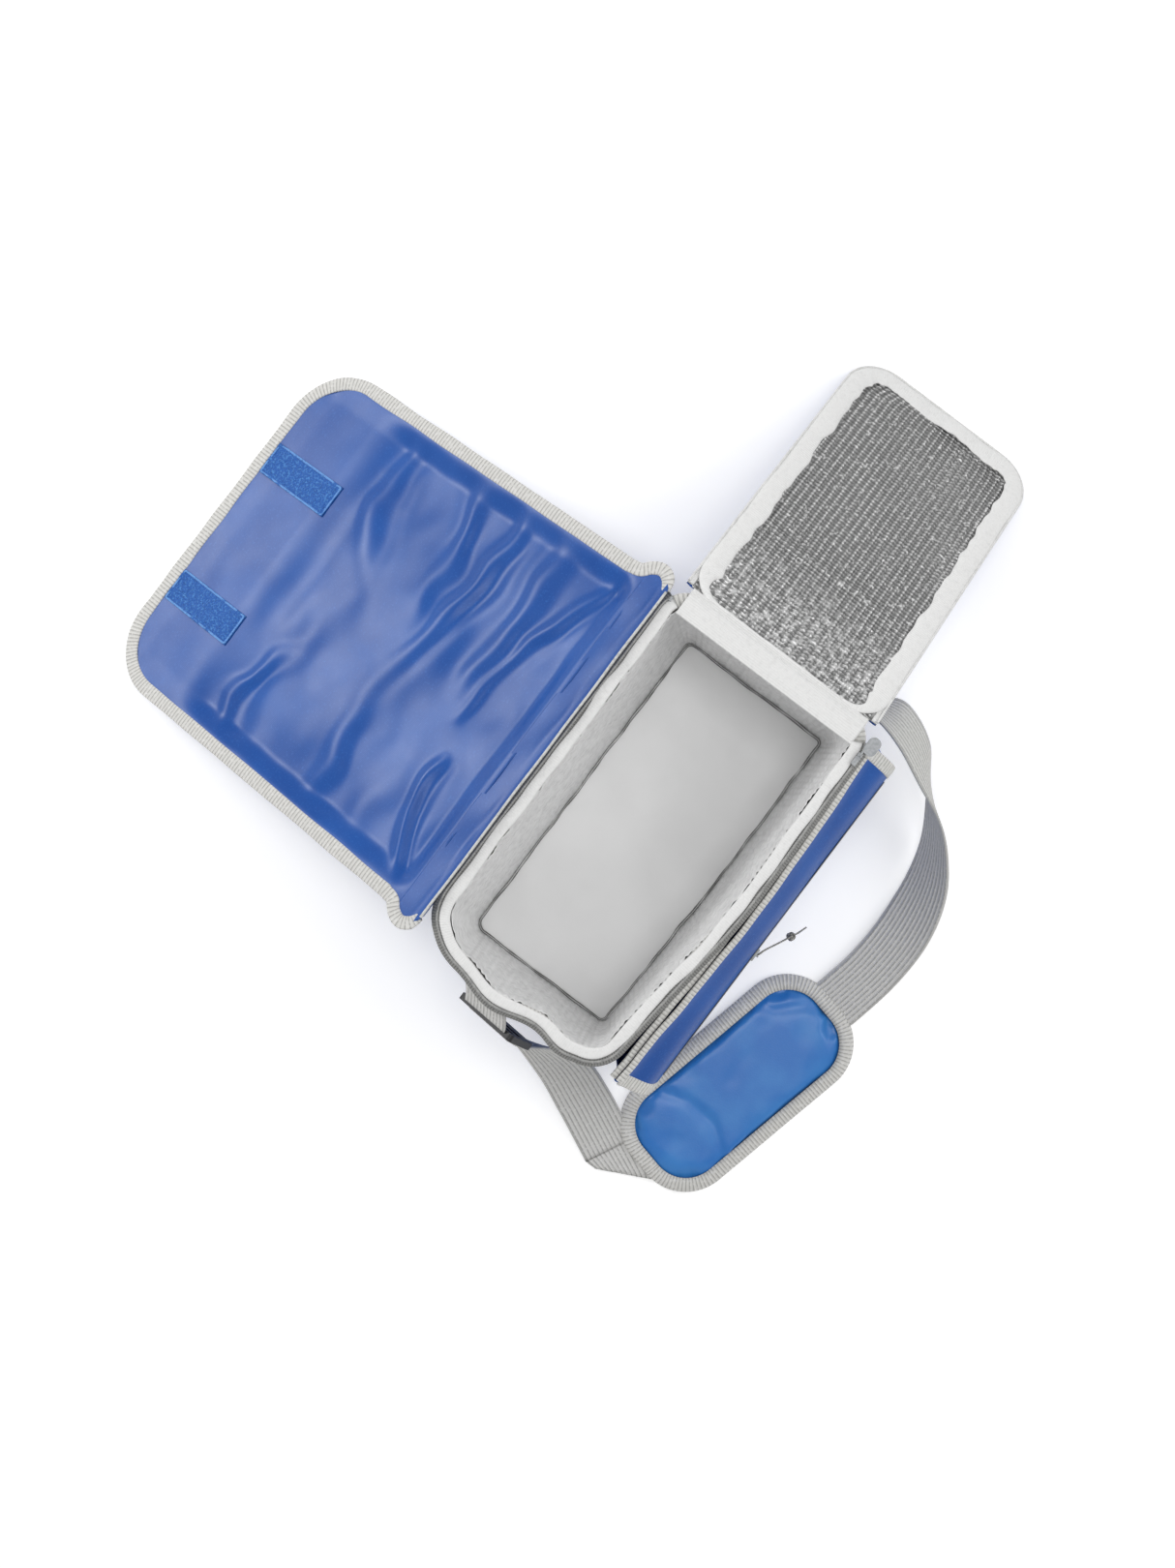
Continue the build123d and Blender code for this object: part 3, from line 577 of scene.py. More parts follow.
def zip_part(*arrays):
    """The columns of the three sides that the main zip runs round, in order from the front hinge end."""
    inside = RIM[:, 0] < 124 * MM
    start = int(np.argmax(inside & ~np.roll(inside, 1)))
    order = np.roll(np.arange(len(RIM)), -start)
    keep = order[inside[order]]
    return [array[keep] for array in arrays]


def disk(outline, z, rows=26):
    """A grid of points filling a closed outline at height z."""
    centre = outline.mean(0)
    share = np.linspace(0, 1, rows)[:, None, None]
    return level(centre + (outline - centre) * share, z)


def liner():
    """Ribbed foil walls, the smooth floor, and thin dark strips of painted shade along the seams between them."""
    heights = np.linspace(FLOOR_Z, RIM_Z + 0.5 * MM, 56)
    place = wall_places(heights)
    waver = 0.25 * MM * ripples(place, 40 * MM, 3)
    ribs = 0.5 + 0.5 * np.sin(2 * math.pi * (AROUND[None, :] + waver) / (4.6 * MM))
    top = ease(heights, 110 * MM, 138 * MM)[:, None]
    foot = 1 - ease(heights, FLOOR_Z, FLOOR_Z + 8 * MM)[:, None]
    dents = crumple(place * [1, 0.5], 9 * MM, 5)
    inward = (0.7 * ribs * (1 - 0.5 * foot) + 0.5 * (1 + ripples(place, 16 * MM, 4)) * 0.5
              + top * 1.5 * (1 - dents) + foot * 1.2) * MM
    made = sheet("liner_foil_walls", wall(heights, 0.2 * MM - inward), FOIL, "foil", closed=True,
                 body="bag", stands_for=["foil_liner"])
    share = FLOOR_Z / RIM_Z
    outline = FOOT * (1 - share) + RIM * share - OUT * 1.0 * MM
    points = disk(outline, FLOOR_Z - 0.1 * MM, 40)
    fade = ease(1 - np.linspace(0, 1, 40), 0, 0.2)[:, None]
    points[..., 2] += 0.35 * MM * ripples(points[..., :2], 45 * MM, 8) * fade
    made = sheet("liner_foil_floor", points, 0.25 * MM, "foil", closed=True, look="floor_foil", body="bag")
    # Thin dark strips at the floor's edge and low on the wall: painted shade in the gaps along the seams.
    for name, lift, inset in (("liner_floor_seam_shade", 0.5, 3.2), ("liner_wall_seam_shade", 4.0, 2.4)):
        path = wall([FLOOR_Z + lift * MM], -inset * MM)[0]
        path += OUT_LEVEL * (0.5 * MM * ripples(path, 12 * MM, 9))[:, None]
        rough = 1 + 0.35 * ripples(path, 7 * MM, 10)
        sweep(name, path, OUT_LEVEL, UPWARD, scaled(bar(0.6 * MM, 0.6 * MM, 8, 3), rough, rough), "foil",
              closed=True, look="seam", body="bag")


def shell():
    """Foam and the blue outer walls, with their corner seams, base and foot welt."""
    heights = np.linspace(9.8 * MM, RIM_Z - 0.2 * MM, 20)
    foam = sheet("wall_foam", wall(heights, 3.1 * MM), 4.9 * MM, "foam", closed=True, body="bag",
                 stands_for=["foam_front", "foam_back", "foam_left", "foam_right"])
    heights = np.linspace(1.2 * MM, RIM_Z - 0.2 * MM, 44)
    calm = (ease(heights, 0, 20 * MM) * (1 - ease(heights, 122 * MM, 140 * MM)))[:, None]
    bulge = 1.4 * np.sin(math.pi * heights / RIM_Z)[:, None] + 0.7 * (1 + ripples(wall_places(heights), 40 * MM, 11)) / 2
    bulge = bulge * calm
    front = (OUT[:, 1] < -0.8)[None, :]
    bulge = np.where(front, 0.2 * bulge, bulge)
    outer = sheet("shell_walls", wall(heights, 6.15 * MM + bulge * MM), CLOTH, "shell_fabric", closed=True,
                  body="bag", stands_for=["shell_front", "shell_back", "shell_left", "shell_right"])
    base = sheet("shell_base_panel", disk(FOOT + OUT * 6.2 * MM, 0.5 * MM, 16), CLOTH, "shell_fabric", closed=True,
                 body="bag", stands_for=["shell_base"])
    sweep("base_welt", wall([2.4 * MM], 7.2 * MM)[0], OUT_LEVEL, UPWARD, bar(2.4 * MM, 2.4 * MM, 10, 2),
          "shell_fabric", closed=True, body="bag")
    for corner in (0, 2, 3, 4):         # corner 1 is only the front wall's bend
        column = corner * (ARC_STEPS + SIDE_STEPS) + ARC_STEPS // 2
        tall = np.linspace(3 * MM, RIM_Z - 11 * MM, 40)
        line = wall(tall, 7.3 * MM + 1.2 * MM * np.sin(math.pi * tall / RIM_Z)[:, None])[:, column]
        side = OUT_LEVEL[column]
        sweep(f"shell_corner_seam_{corner}", line, (-side[1], side[0], 0), side, bar(3.0 * MM, 1.6 * MM, 10, 2.4),
              "shell_fabric", body="bag")


def rim():
    """The grey rim binding, the wavy white tape, and the outer zip tape painted dark grey as the rim's shade, with its
    coil.
    """
    path = rim_path(0, 0)
    profile = np.array([(-0.6, 141.0), (-0.9, 143.6), (0.6, 144.6), (4.0, 144.9), (7.2, 144.7), (8.4, 143.2),
                        (8.6, 139.0), (8.4, 133.6), (7.4, 133.4), (7.2, 139.0), (6.9, 142.8), (0.4, 143.0),
                        (0.1, 141.0)]) * MM
    slack = 1 + 0.06 * ripples(path, 25 * MM, 14)
    sweep("rim_binding_tape", path, OUT_LEVEL, UPWARD, scaled(profile, slack, 1), "binding", closed=True,
          body="bag", stands_for=["rim_binding"])
    path = rim_path(2.3 * MM, 146.3 * MM)
    wave = ripples(path, 13 * MM, 15)
    path = (path + OUT_LEVEL * (0.5 * MM * ripples(path, 18 * MM, 16))[:, None]
            + np.array(UPWARD) * (0.35 * MM * wave)[:, None])
    loops = scaled(bar(7.4 * MM, 1.5 * MM, 14, 3), 1 + 0.08 * wave, 1 + 0.2 * ripples(path, 6 * MM, 17))
    path, across, loops = zip_part(path, OUT_LEVEL, loops)
    sweep("rim_white_tape", path, across, UPWARD, loops, "white_tape", body="bag", stands_for=["body_zip_tape"])
    # The outer zip tape is white tape given the dark grey finish: painted shade of the zone just outside the white
    # band.
    profile = np.array([(4.6, 145.2), (6.8, 146.1), (9.0, 145.4), (10.8, 143.2), (11.2, 140.2), (10.6, 140.1),
                        (10.2, 142.9), (8.7, 144.7), (6.7, 145.2), (4.6, 144.9)]) * MM
    path, across = zip_part(rim_path(0, 0), OUT_LEVEL)
    sweep("zip_tape_outer", path, across, UPWARD, profile, "white_tape", look="grey_tape", body="bag")
    # The body's half of the main zip keeps the darker coil finish: painted shade of the zone outside the rim.
    path, across = zip_part(rim_path(7.2 * MM, 147.1 * MM), OUT_LEVEL)
    zip_teeth("zip_coil_body", path, across, UPWARD, 1.9 * MM, 1.5 * MM, body="bag", stands_for=["body_zip_coil"])


# ---- Front pocket ----
POCKET_LEFT_OUT = 8 * MM        # how far the pocket's top leans out past its left end
POCKET_ZIP_Z = 102 * MM


def pocket_top_y(x):
    """The line of the pocket's top edge: it hangs open in a shallow bow between its two held ends."""
    share = np.clip(np.abs(x) / (130 * MM), 0, 1)
    return mouth_low.y + 2.5 * MM + 5.5 * MM * share ** 2


def pocket_column(x):
    """The pocket panel's line from its top edge to its foot at x."""
    y0 = pocket_top_y(x)
    lean = bell(x, -10 * MM, 110 * MM)
    points = [(y0, 138.4), (y0 - 5.0 * MM, 132.0), (-0.1015 - 0.0012 * lean, 121.0), (-0.1065, 108.0),
              (-0.1050, 100.0), (-0.1068, 90.0), (-0.1088, 78.0), (-0.1088, 50.0), (-0.1082, 26.0),
              (-0.1010, 12.0), (-0.0900, 5.6)]
    line = smooth_path([(0, y, z * MM) for y, z in points], 64)
    line[:, 0] = x
    return line


def pocket_cloth():
    """The grid of the pocket's front panel, with its folds."""
    columns = []
    for x in np.linspace(-127.5, 127.5, 130) * MM:
        line = pocket_column(x)
        line[:, 0] -= POCKET_LEFT_OUT * ease(line[:, 2], 90 * MM, 138 * MM) * ease(-x, 60 * MM, 128 * MM)
        columns.append(line)
    middle = np.stack(columns, axis=1)
    calm = 1 - ease(np.abs(middle[..., 0]), 112 * MM, 126 * MM)
    low = 1 - ease(middle[..., 2], 100 * MM, 112 * MM)
    zip_band = bell(middle[..., 2], POCKET_ZIP_Z, 11 * MM)
    folds = 1.6 * (0.5 + 0.5 * ripples(middle[..., ::2], 34 * MM, 21)) * calm * (1 - zip_band)
    middle[..., 1] += folds * MM * (0.4 + 0.6 * low)
    return middle


def pocket():
    """The pocket's panel, ends, bindings, zip and loop strips."""
    middle = pocket_cloth()
    made = sheet("pocket_panel", middle, CLOTH, "shell_fabric", body="bag", stands_for=["pocket_front_panel"])
    for number, (back, lift) in enumerate(((0.0, 2.2), (5.0, 1.2))):
        path = middle[0] + np.array([0, back * MM, lift * MM])
        path = path + np.array([0, 0.3 * MM, 0.35 * MM]) * ripples(path, 16 * MM, 22 + number)[:, None]
        up = unit(np.array([0, -0.45, 0.9]))
        across = unit(np.cross(unit(np.gradient(path, axis=0)), up))
        sweep(f"pocket_top_strip_{number}", *teeth_path(path, across, up, 1.2 * MM), bar(4.6 * MM, 2.2 * MM, 14, 3),
              "binding", body="bag", stands_for=["pocket_top_binding"][number:])
    for name, column, inset, nodes in (("left", 0, 2.2, ["pocket_side_bindings"]), ("right", -1, -2.2, [])):
        line = middle[:, column] + np.array([inset * MM, -0.2 * MM, 0])
        out = unit(np.cross(unit(np.gradient(line, axis=0)), ALONG_X))
        out = np.where((out[:, 1:2] > 0), -out, out)
        sweep(f"pocket_side_tape_{name}", line, ALONG_X, out, bar(9 * MM, 2.0 * MM, 14, 4), "binding",
              body="bag", stands_for=nodes)
    for name, column, wall_x, wall_y, nodes in (("left", 0, -126, -73.2, ["pocket_gusset"]),
                                                ("right", -1, 126, -80.0, [])):
        front = middle[:, column]
        high = front[:, 2] / RIM_Z
        back = np.stack([wall_x * MM * (1 + 0.02 * high), wall_y * MM - 0.004 * high, front[:, 2]], axis=1)
        share = np.linspace(0, 1, 14)[:, None, None]
        cheek = back[None] * (1 - share) + front[None] * share
        puff = (1.6 + 1.4 * ripples(cheek[..., 1:], 22 * MM, 25)) * MM * np.sin(math.pi * share[..., 0])
        cheek[..., 0] += math.copysign(1, wall_x) * puff
        if name == "left":
            cheek = cheek[:, ::-1]
        made = sheet(f"pocket_end_{name}", cheek, CLOTH, "shell_fabric", body="bag", stands_for=nodes)
    share = np.linspace(0, 1, 10)[:, None, None]
    foot = middle[-1]
    back = foot.copy()
    back[:, 1] = -77.2 * MM
    sole = sheet("pocket_sole", back[None] * (1 - share) + foot[None] * share, CLOTH, "shell_fabric", body="bag")
    xs = np.linspace(-118, 118, 220) * MM
    rows = [np.stack([xs, np.full_like(xs, -0.1068 - 0.0004 * bell(z, POCKET_ZIP_Z, 6 * MM)), np.full_like(xs, z)],
                     axis=1) for z in np.linspace(93, 111, 9) * MM]
    sheet("pocket_zip_band", np.stack(rows), 0.5 * MM, "grey_tape", body="bag", stands_for=["pocket_zip_tape"])
    path = np.stack([xs, np.full_like(xs, -0.1073), np.full_like(xs, POCKET_ZIP_Z)], axis=1)
    zip_teeth("pocket_zip_teeth", path, UPWARD, (0, -1, 0), 3.0 * MM, 1.7 * MM, body="bag",
              stands_for=["pocket_zip_coil"])
    for number, x in enumerate(HOOK_AT):
        xs = np.linspace(x - 12.5, x + 12.5, 14) * MM
        columns = [pocket_column(v)[::-1] for v in xs]
        rows = []
        for z in np.linspace(27, 83, 30) * MM:
            y = np.array([np.interp(z, column[:, 2], column[:, 1]) for column in columns])
            rows.append(np.stack([xs, y - 0.6 * MM, np.full_like(xs, z)], axis=1))
        made = sheet(f"loop_strip_{number}", np.stack(rows), 1.0 * MM, "hook_tape", body="bag",
                     stands_for=["pocket_loop_strips"][number:])


def tooth_profile(count, width, height):
    """The outline of a coil at each point of a fine path: a tooth every four points."""
    swell = np.array([1.0, 0.86, 0.66, 0.86])[np.arange(count) % 4]
    return bar(width, height, 8, 2)[None] * swell[:, None, None]


# ---- Inner lid ----
LID_AXIS = Vector((136.5 * MM, 0, 148 * MM))
LID_OUTWARD = np.array([0.84339, 0, -0.53730])
LID_UP = np.array([0.53730, 0, 0.84339])


def on_lid(s, y, h):
    """A point on the open lid: s from the hinge line, across at y, and h above the hinge's own plane."""
    s, y, h = np.broadcast_arrays(s, y, h)
    point = np.array(LID_AXIS) + s[..., None] * LID_OUTWARD + h[..., None] * LID_UP
    point[..., 1] = y
    return point


def panel(start, end, low, high, corner, rows, cols):
    """A grid of (along, across) over a panel whose two far corners are rounded."""
    turn = np.linspace(0, math.pi / 2, 14)
    along = np.concatenate([np.linspace(start, end - corner, rows), end - corner + corner * np.sin(turn[1:])])
    inset = corner - np.sqrt(np.maximum(corner ** 2 - np.maximum(along - (end - corner), 0) ** 2, 0))
    share = np.linspace(0, 1, cols)
    across = (low + inset)[:, None] * (1 - share) + (high - inset)[:, None] * share
    return np.broadcast_to(along[:, None], across.shape), across


def u_line(start, end, low, high, corner, step=1.5 * MM):
    """The (along, across) line round a panel's free edges, and its inward normals."""
    turn = np.linspace(0, math.pi / 2, 24)
    near = np.stack([np.linspace(start, end - corner, 60), np.full(60, low)], axis=1)
    first = np.stack([end - corner + corner * np.sin(turn), low + corner - corner * np.cos(turn)], axis=1)
    second = np.stack([end - corner + corner * np.cos(turn), high - corner + corner * np.sin(turn)], axis=1)
    back = np.stack([np.linspace(end - corner, start, 60), np.full(60, high)], axis=1)
    line = np.vstack([near, first[1:], second, back[1:]])
    steps = np.linalg.norm(np.diff(line, axis=0), axis=1)
    reach = np.concatenate([[0], np.cumsum(steps)])
    at = np.arange(0, reach[-1], step)
    line = np.stack([np.interp(at, reach, line[:, k]) for k in range(2)], axis=1)
    along = unit(np.gradient(line, axis=0))
    return line, np.stack([-along[:, 1], along[:, 0]], axis=1)


def lid():
    """Ribbed foil, the puffy white border, coil, foam edge and the blue cover."""
    s, y = panel(7 * MM, 263 * MM, -73 * MM, 67 * MM, 25 * MM, 120, 150)
    place = np.stack([s, y], axis=-1)
    waver = 1.1 * MM * ripples(place * [0.4, 1], 25 * MM, 31)
    ridges = 0.5 + 0.5 * np.sin(2 * math.pi * (y + waver) / (5.2 * MM))
    beads = 0.5 + 0.5 * np.sin(2 * math.pi * (s + 0.8 * MM * ripples(place, 14 * MM, 32)) / (3.2 * MM))
    hinge_third = 1 - ease(s, 60 * MM, 120 * MM)
    near_edge = 1 - ease(y, -70 * MM, -48 * MM)
    crushed = np.clip(0.35 + 0.65 * hinge_third + 0.6 * near_edge, 0, 1)
    dents = crumple(place * [0.7, 1], 15 * MM, 33)
    fold = crease(place, [(78 * MM, -72 * MM), (86 * MM, -20 * MM), (82 * MM, 30 * MM), (92 * MM, 66 * MM)], 3 * MM)
    slant = crease(place, [(12 * MM, 64 * MM), (52 * MM, 44 * MM)], 2 * MM)
    edge = np.minimum(np.minimum(y + 73 * MM, 67 * MM - y), 263 * MM - s)
    calm = ease(edge, 0, 9 * MM)
    h = -3.9 + (0.75 * ridges * (0.7 + 0.3 * beads) + crushed * 0.55 * (1 - dents) + 1.0 * fold + 0.8 * slant
                + 0.35 * ripples(place, 40 * MM, 34)) * calm
    made = sheet("lid_foil_sheet", on_lid(s, y, h * MM), 0.3 * MM, "foil", look="lid_foil")
    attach(made, "lid")
    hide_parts("lid_foil")
    s, y = panel(8.5 * MM, 263.5 * MM, -73.5 * MM, 67.5 * MM, 25.5 * MM, 24, 26)
    foam = sheet("lid_padding", on_lid(s, y, -4.75 * MM), 1.0 * MM, "foam")
    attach(foam, "lid")
    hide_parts("lid_foam")
    s, y = panel(8 * MM, 265.5 * MM, -75.5 * MM, 69.5 * MM, 27.5 * MM, 70, 60)
    place = np.stack([s, y], axis=-1)
    edge = np.minimum(np.minimum(y + 75.5 * MM, 69.5 * MM - y), 265.5 * MM - s)
    swell = ease(edge, 0, 14 * MM) * (0.35 + 0.25 * ripples(place, 35 * MM, 36)) * (1 - ease(s, 235 * MM, 262 * MM))
    cover = sheet("lid_cover_cloth", on_lid(s, y, (-5.7 - swell) * MM), 0.6 * MM, "shell_fabric")
    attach(cover, "lid")
    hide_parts("lid_cover")
    # The puffy white border goes all round, with its hinge corners rounded too
    ring = even(rounded(np.array([(2, -77.9), (268, -77.9), (268, 71.9), (2, 71.9)]) * MM,
                        [26 * MM, 30 * MM, 30 * MM, 26 * MM], 24, 80), 1.4 * MM)
    inward = -outward(ring)
    place = np.concatenate([ring, np.zeros((len(ring), 1))], axis=1)
    width = 14.2 * (1 + 0.07 * ripples(place, 14 * MM, 38) + 0.03 * ripples(place, 5 * MM, 35))
    width *= 0.32 + 0.68 * ease(ring[:, 0], 2 * MM, 22 * MM)
    flat = ring + inward * (1.2 * MM + width[:, None] * MM / 2)
    path = on_lid(flat[:, 0], flat[:, 1], -2.7 * MM + 0.3 * MM * ripples(place, 16 * MM, 37))
    across = np.stack([inward[:, 0] * LID_OUTWARD[0], inward[:, 1], inward[:, 0] * LID_OUTWARD[2]], axis=1)
    size = np.stack([width / 14.2, 1 + 0.22 * ripples(place, 7 * MM, 39)], axis=1)
    made = sweep("lid_white_border", path, across, np.tile(LID_UP, (len(path), 1)),
                 bar(14.2 * MM, 2.6 * MM, 20, 2.4)[None] * size[:, None], "white_tape", closed=True)
    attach(made, "lid")
    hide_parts("lid_zip_tape")
    line, inward = u_line(8 * MM, 268 * MM, -77.9 * MM, 71.9 * MM, 30 * MM)
    for name, inset, width, thick, h, slot in (("lid_edge_tape", 2.4, 4.4, 1.0, -4.0, "white_tape"),
                                               ("lid_edge_welt", 2.6, 4.6, 2.0, -5.2, "shell_fabric")):
        flat = line + inward * inset * MM
        place = np.concatenate([flat, np.zeros((len(flat), 1))], axis=1)
        path = on_lid(flat[:, 0], flat[:, 1], h * MM + 0.2 * MM * ripples(place, 16 * MM, 37))
        resting = (0.27 * width + 0.42 * thick + 0.1) * MM      # the far edge lies on the table
        path[:, 2] = np.maximum(path[:, 2], resting)
        across = np.stack([inward[:, 0] * LID_OUTWARD[0], inward[:, 1], inward[:, 0] * LID_OUTWARD[2]], axis=1)
        up = np.tile(LID_UP, (len(path), 1))
        made = sweep(name, path, across, up, bar(width * MM, thick * MM, 14, 3), slot)
        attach(made, "lid")
    path = on_lid(line[:, 0], line[:, 1], np.full(len(line), -2.4 * MM))
    across = np.stack([inward[:, 0] * LID_OUTWARD[0], inward[:, 1], inward[:, 0] * LID_OUTWARD[2]], axis=1)
    path = path + across * 0.8 * MM
    path, across, up = teeth_path(path, across, np.tile(LID_UP, (len(path), 1)))
    # The lid's half of the main zip takes the paler copy of the coil finish: painted light.
    made = sweep("zip_coil_lid", path, across, up, tooth_profile(len(path), 1.9 * MM, 1.5 * MM), "zip_coil",
                 look="coil_painted_light")
    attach(made, "lid")
    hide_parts("lid_zip_coil")
    # The white band that hinges the lid: one part on the rim and one on the lid, which meet on the axis
    ys = np.linspace(-71.5, 65.5, 110) * MM
    rim_part = smooth_path([(120.5, 0, 146.0), (126.0, 0, 146.8), (132.0, 0, 147.2), (136.5, 0, 147.9)], 18) * MM
    band = np.stack([np.stack([np.full_like(ys, x), ys, np.full_like(ys, z)], axis=1) for x, _, z in rim_part])
    band[..., 2] += 0.25 * MM * ripples(band[..., :2], 12 * MM, 41)
    made = sheet("lid_hinge_band", band, 0.9 * MM, "white_tape")
    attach(made, "bag")
    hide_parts("lid_hinge_fabric")
    s, y = np.meshgrid(np.linspace(0.1, 10.3, 12) * MM, ys, indexing="ij")
    flange = on_lid(s, y, -0.1 * MM - 1.5 * MM * ease(s, 0, 4 * MM) - 3.2 * MM * ease(s, 4.5 * MM, 8 * MM))
    made = sheet("lid_hinge_flange", flange, 0.8 * MM, "white_tape")
    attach(made, "lid")


# ---- Weather flap ----
FLAP_OUTWARD = np.array([0, 0.89903, -0.43790])
FLAP_UP = np.array([0, 0.43790, 0.89903])


def on_flap(x, s, h):
    """A point on the open flap: across at x, s from the hinge line, and h above the hinge's own plane."""
    x, s, h = np.broadcast_arrays(x, s, h)
    point = np.array([0, 78 * MM, 150 * MM]) + s[..., None] * FLAP_OUTWARD + h[..., None] * FLAP_UP
    point[..., 0] = x
    return point


CREASE_AT = on_flap(np.array(0.0), np.array(190 * MM), np.array(-6.4 * MM))
FLAP_LONG = 326 * MM
FLAP_HALF = 134 * MM
FOLD_SEED = 71


def fold_fans():
    """Ridges that fan in from both sides of a flap thrown open by hand: (route, width, height) in millimetres."""
    source = np.random.default_rng(FOLD_SEED)
    half, long = FLAP_HALF / MM, FLAP_LONG / MM
    share = np.linspace(0, 1, 7)[:, None]
    folds = []
    for side, count, reach in ((1, 5, 1.0), (-1, 3, 0.7)):
        for start in np.linspace(0.13, 0.64, count):
            begin = np.array([side * 0.90 * half, (start + source.uniform(-0.05, 0.05)) * long])
            meet = np.array([-side * 0.25 * half, (0.16 + 0.62 * start + source.uniform(-0.07, 0.07)) * long])
            route = begin + (meet - begin) * share * reach * source.uniform(0.45, 1.0)
            route[:, 1] += source.uniform(-0.03, 0.06) * long * np.sin(math.pi * share[:, 0])
            folds.append((route, source.uniform(3.4, 8.0), source.uniform(2.2, 4.4)))
    return folds


def flap_height(x, s):
    """How high the flap's cloth stands at (across, along), within its own sag, in metres."""
    place = np.stack([x, s], axis=-1) / MM
    place = place + 2.2 * np.stack([ripples(place, 24, 53), ripples(place, 24, 54)], axis=-1)
    middle = np.stack([place[..., 0] / 70, (place[..., 1] - 0.5 * FLAP_LONG / MM) / 48], axis=-1)
    rise = np.exp(-np.linalg.norm(middle, axis=-1) ** 2)
    ridge = 3.6 * rise
    for route, width, height in fold_fans():
        hump = crease(place, route, width, 0.8) - 0.45 * crease(place + [0, 1.9 * width], route, width, 0.8)
        ridge = ridge + height * hump * (1 - 0.6 * rise)
    ridge = ridge + 0.5 * ripples(place * [0.5, 1], 17, 51) + 1.1 * ripples(place, 45, 52)
    edge = np.minimum(FLAP_HALF - np.abs(x), FLAP_LONG - s)
    calm = ease(edge, 8 * MM, 26 * MM) * ease(s, 22 * MM, 36 * MM) * (1 - 0.8 * ease(s, 225 * MM, 262 * MM))
    soft = np.where(ridge > 0, 5.6 * np.tanh(ridge / 5.6), 2.6 * np.tanh(ridge / 2.6))
    return -(6.45 + calm * (6.0 - soft)) * MM


def flap():
    """The cloth from hinge to tip and its binding."""
    s, x = panel(19 * MM, 323.5 * MM, -131.5 * MM, 131.5 * MM, 43.5 * MM, 170, 150)
    made = sheet("flap_cloth", on_flap(x, s, flap_height(x, s)), 0.6 * MM, "shell_fabric",
                 stands_for=["flap_top_panel", "flap_front_panel"])
    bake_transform(made)
    line, inward = u_line(34 * MM, 326 * MM, -134 * MM, 134 * MM, 46 * MM)
    flat = line + inward * 5.0 * MM
    place = level(flat)
    path = on_flap(flat[:, 1], flat[:, 0], np.full(len(flat), -6.4 * MM))
    along = unit(np.gradient(path, axis=0))
    across = unit(np.cross(FLAP_UP, along))
    loops = scaled(bar(9.6 * MM, 2.3 * MM, 16, 4), 1 + 0.04 * ripples(place, 20 * MM, 54),
                   1 + 0.12 * ripples(place, 9 * MM, 55))
    binding = sweep("flap_binding", path, across, FLAP_UP, loops, "binding",
                    stands_for=["flap_top_binding", "flap_front_binding"])
    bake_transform(binding)


def flap_hinge():
    """The hinge cloth: one part on the back wall and one on the flap, as wide as its ears, meeting on the axis."""
    xs = np.linspace(127, -127, 130) * MM
    root = smooth_path([(77.3, 134.0, 0), (77.5, 139.0, 0), (77.7, 144.0, 0), (78.0, 149.6, 0)], 18) * MM
    rows = np.stack([np.stack([xs, np.full_like(xs, y), np.full_like(xs, z)], axis=1) for y, z, _ in root])
    made = sheet("flap_hinge_root", rows, CLOTH, "shell_fabric", body="bag")
    section = smooth_path([(0.2, -0.2, 0), (1.2, -2.6, 0), (3.5, -5.2, 0), (8.0, -6.3, 0), (14.0, -6.45, 0),
                           (22.0, -6.45, 0)], 40)
    half = np.interp(section[:, 0], [0, 4, 8, 13, 18, 22], [127, 131, 136, 137, 134, 131]) * MM
    share = np.linspace(1, -1, 150)
    s = np.broadcast_to(section[:, :1] * MM, (len(section), len(share)))
    x = half[:, None] * share
    waver = 0.35 * MM * ripples(np.stack([x, s], axis=-1), 18 * MM, 57)
    h = section[:, 1:2] * MM + waver * ease(s, 6 * MM, 11 * MM)
    made = sheet("flap_hinge_cloth", on_flap(x, s, h)[::-1], CLOTH, "shell_fabric", body="flap_top",
                 stands_for=["flap_hinge_strip"])
    for side in (-1, 1):        # its ears are bound in the same tape, which curls back to the rim
        spots = smooth_path([(side * 129.0, 36.0), (side * 130.5, 27.0), (side * 135.5, 21.0),
                             (side * 138.0, 14.0), (side * 135.0, 7.5), (side * 127.5, 4.0)], 46) * MM
        path = on_flap(spots[:, 0], spots[:, 1], -6.2 * MM - 0.6 * MM * ease(-spots[:, 1], -9 * MM, -5 * MM))
        across = unit(np.cross(FLAP_UP, unit(np.gradient(path, axis=0))))
        taper = np.interp(np.linspace(0, 1, len(path)), [0, 0.8, 1], [1, 0.95, 0.6])
        sweep(f"flap_ear_binding_{'left' if side < 0 else 'right'}", path, across, FLAP_UP,
              scaled(bar(9.2 * MM, 2.5 * MM, 16, 4), taper, 1), "binding", body="flap_top")
    path = np.stack([xs, np.full_like(xs, 78.0 * MM), np.full_like(xs, 150.1 * MM)], axis=1)
    path += np.array([0, 0.2 * MM, 0.2 * MM]) * ripples(path, 20 * MM, 59)[:, None]
    sweep("flap_hinge_edging", path, ALONG_Y, UPWARD, bar(1.7 * MM, 1.6 * MM, 10, 2), "binding",
          look="pale_edge", body="bag")


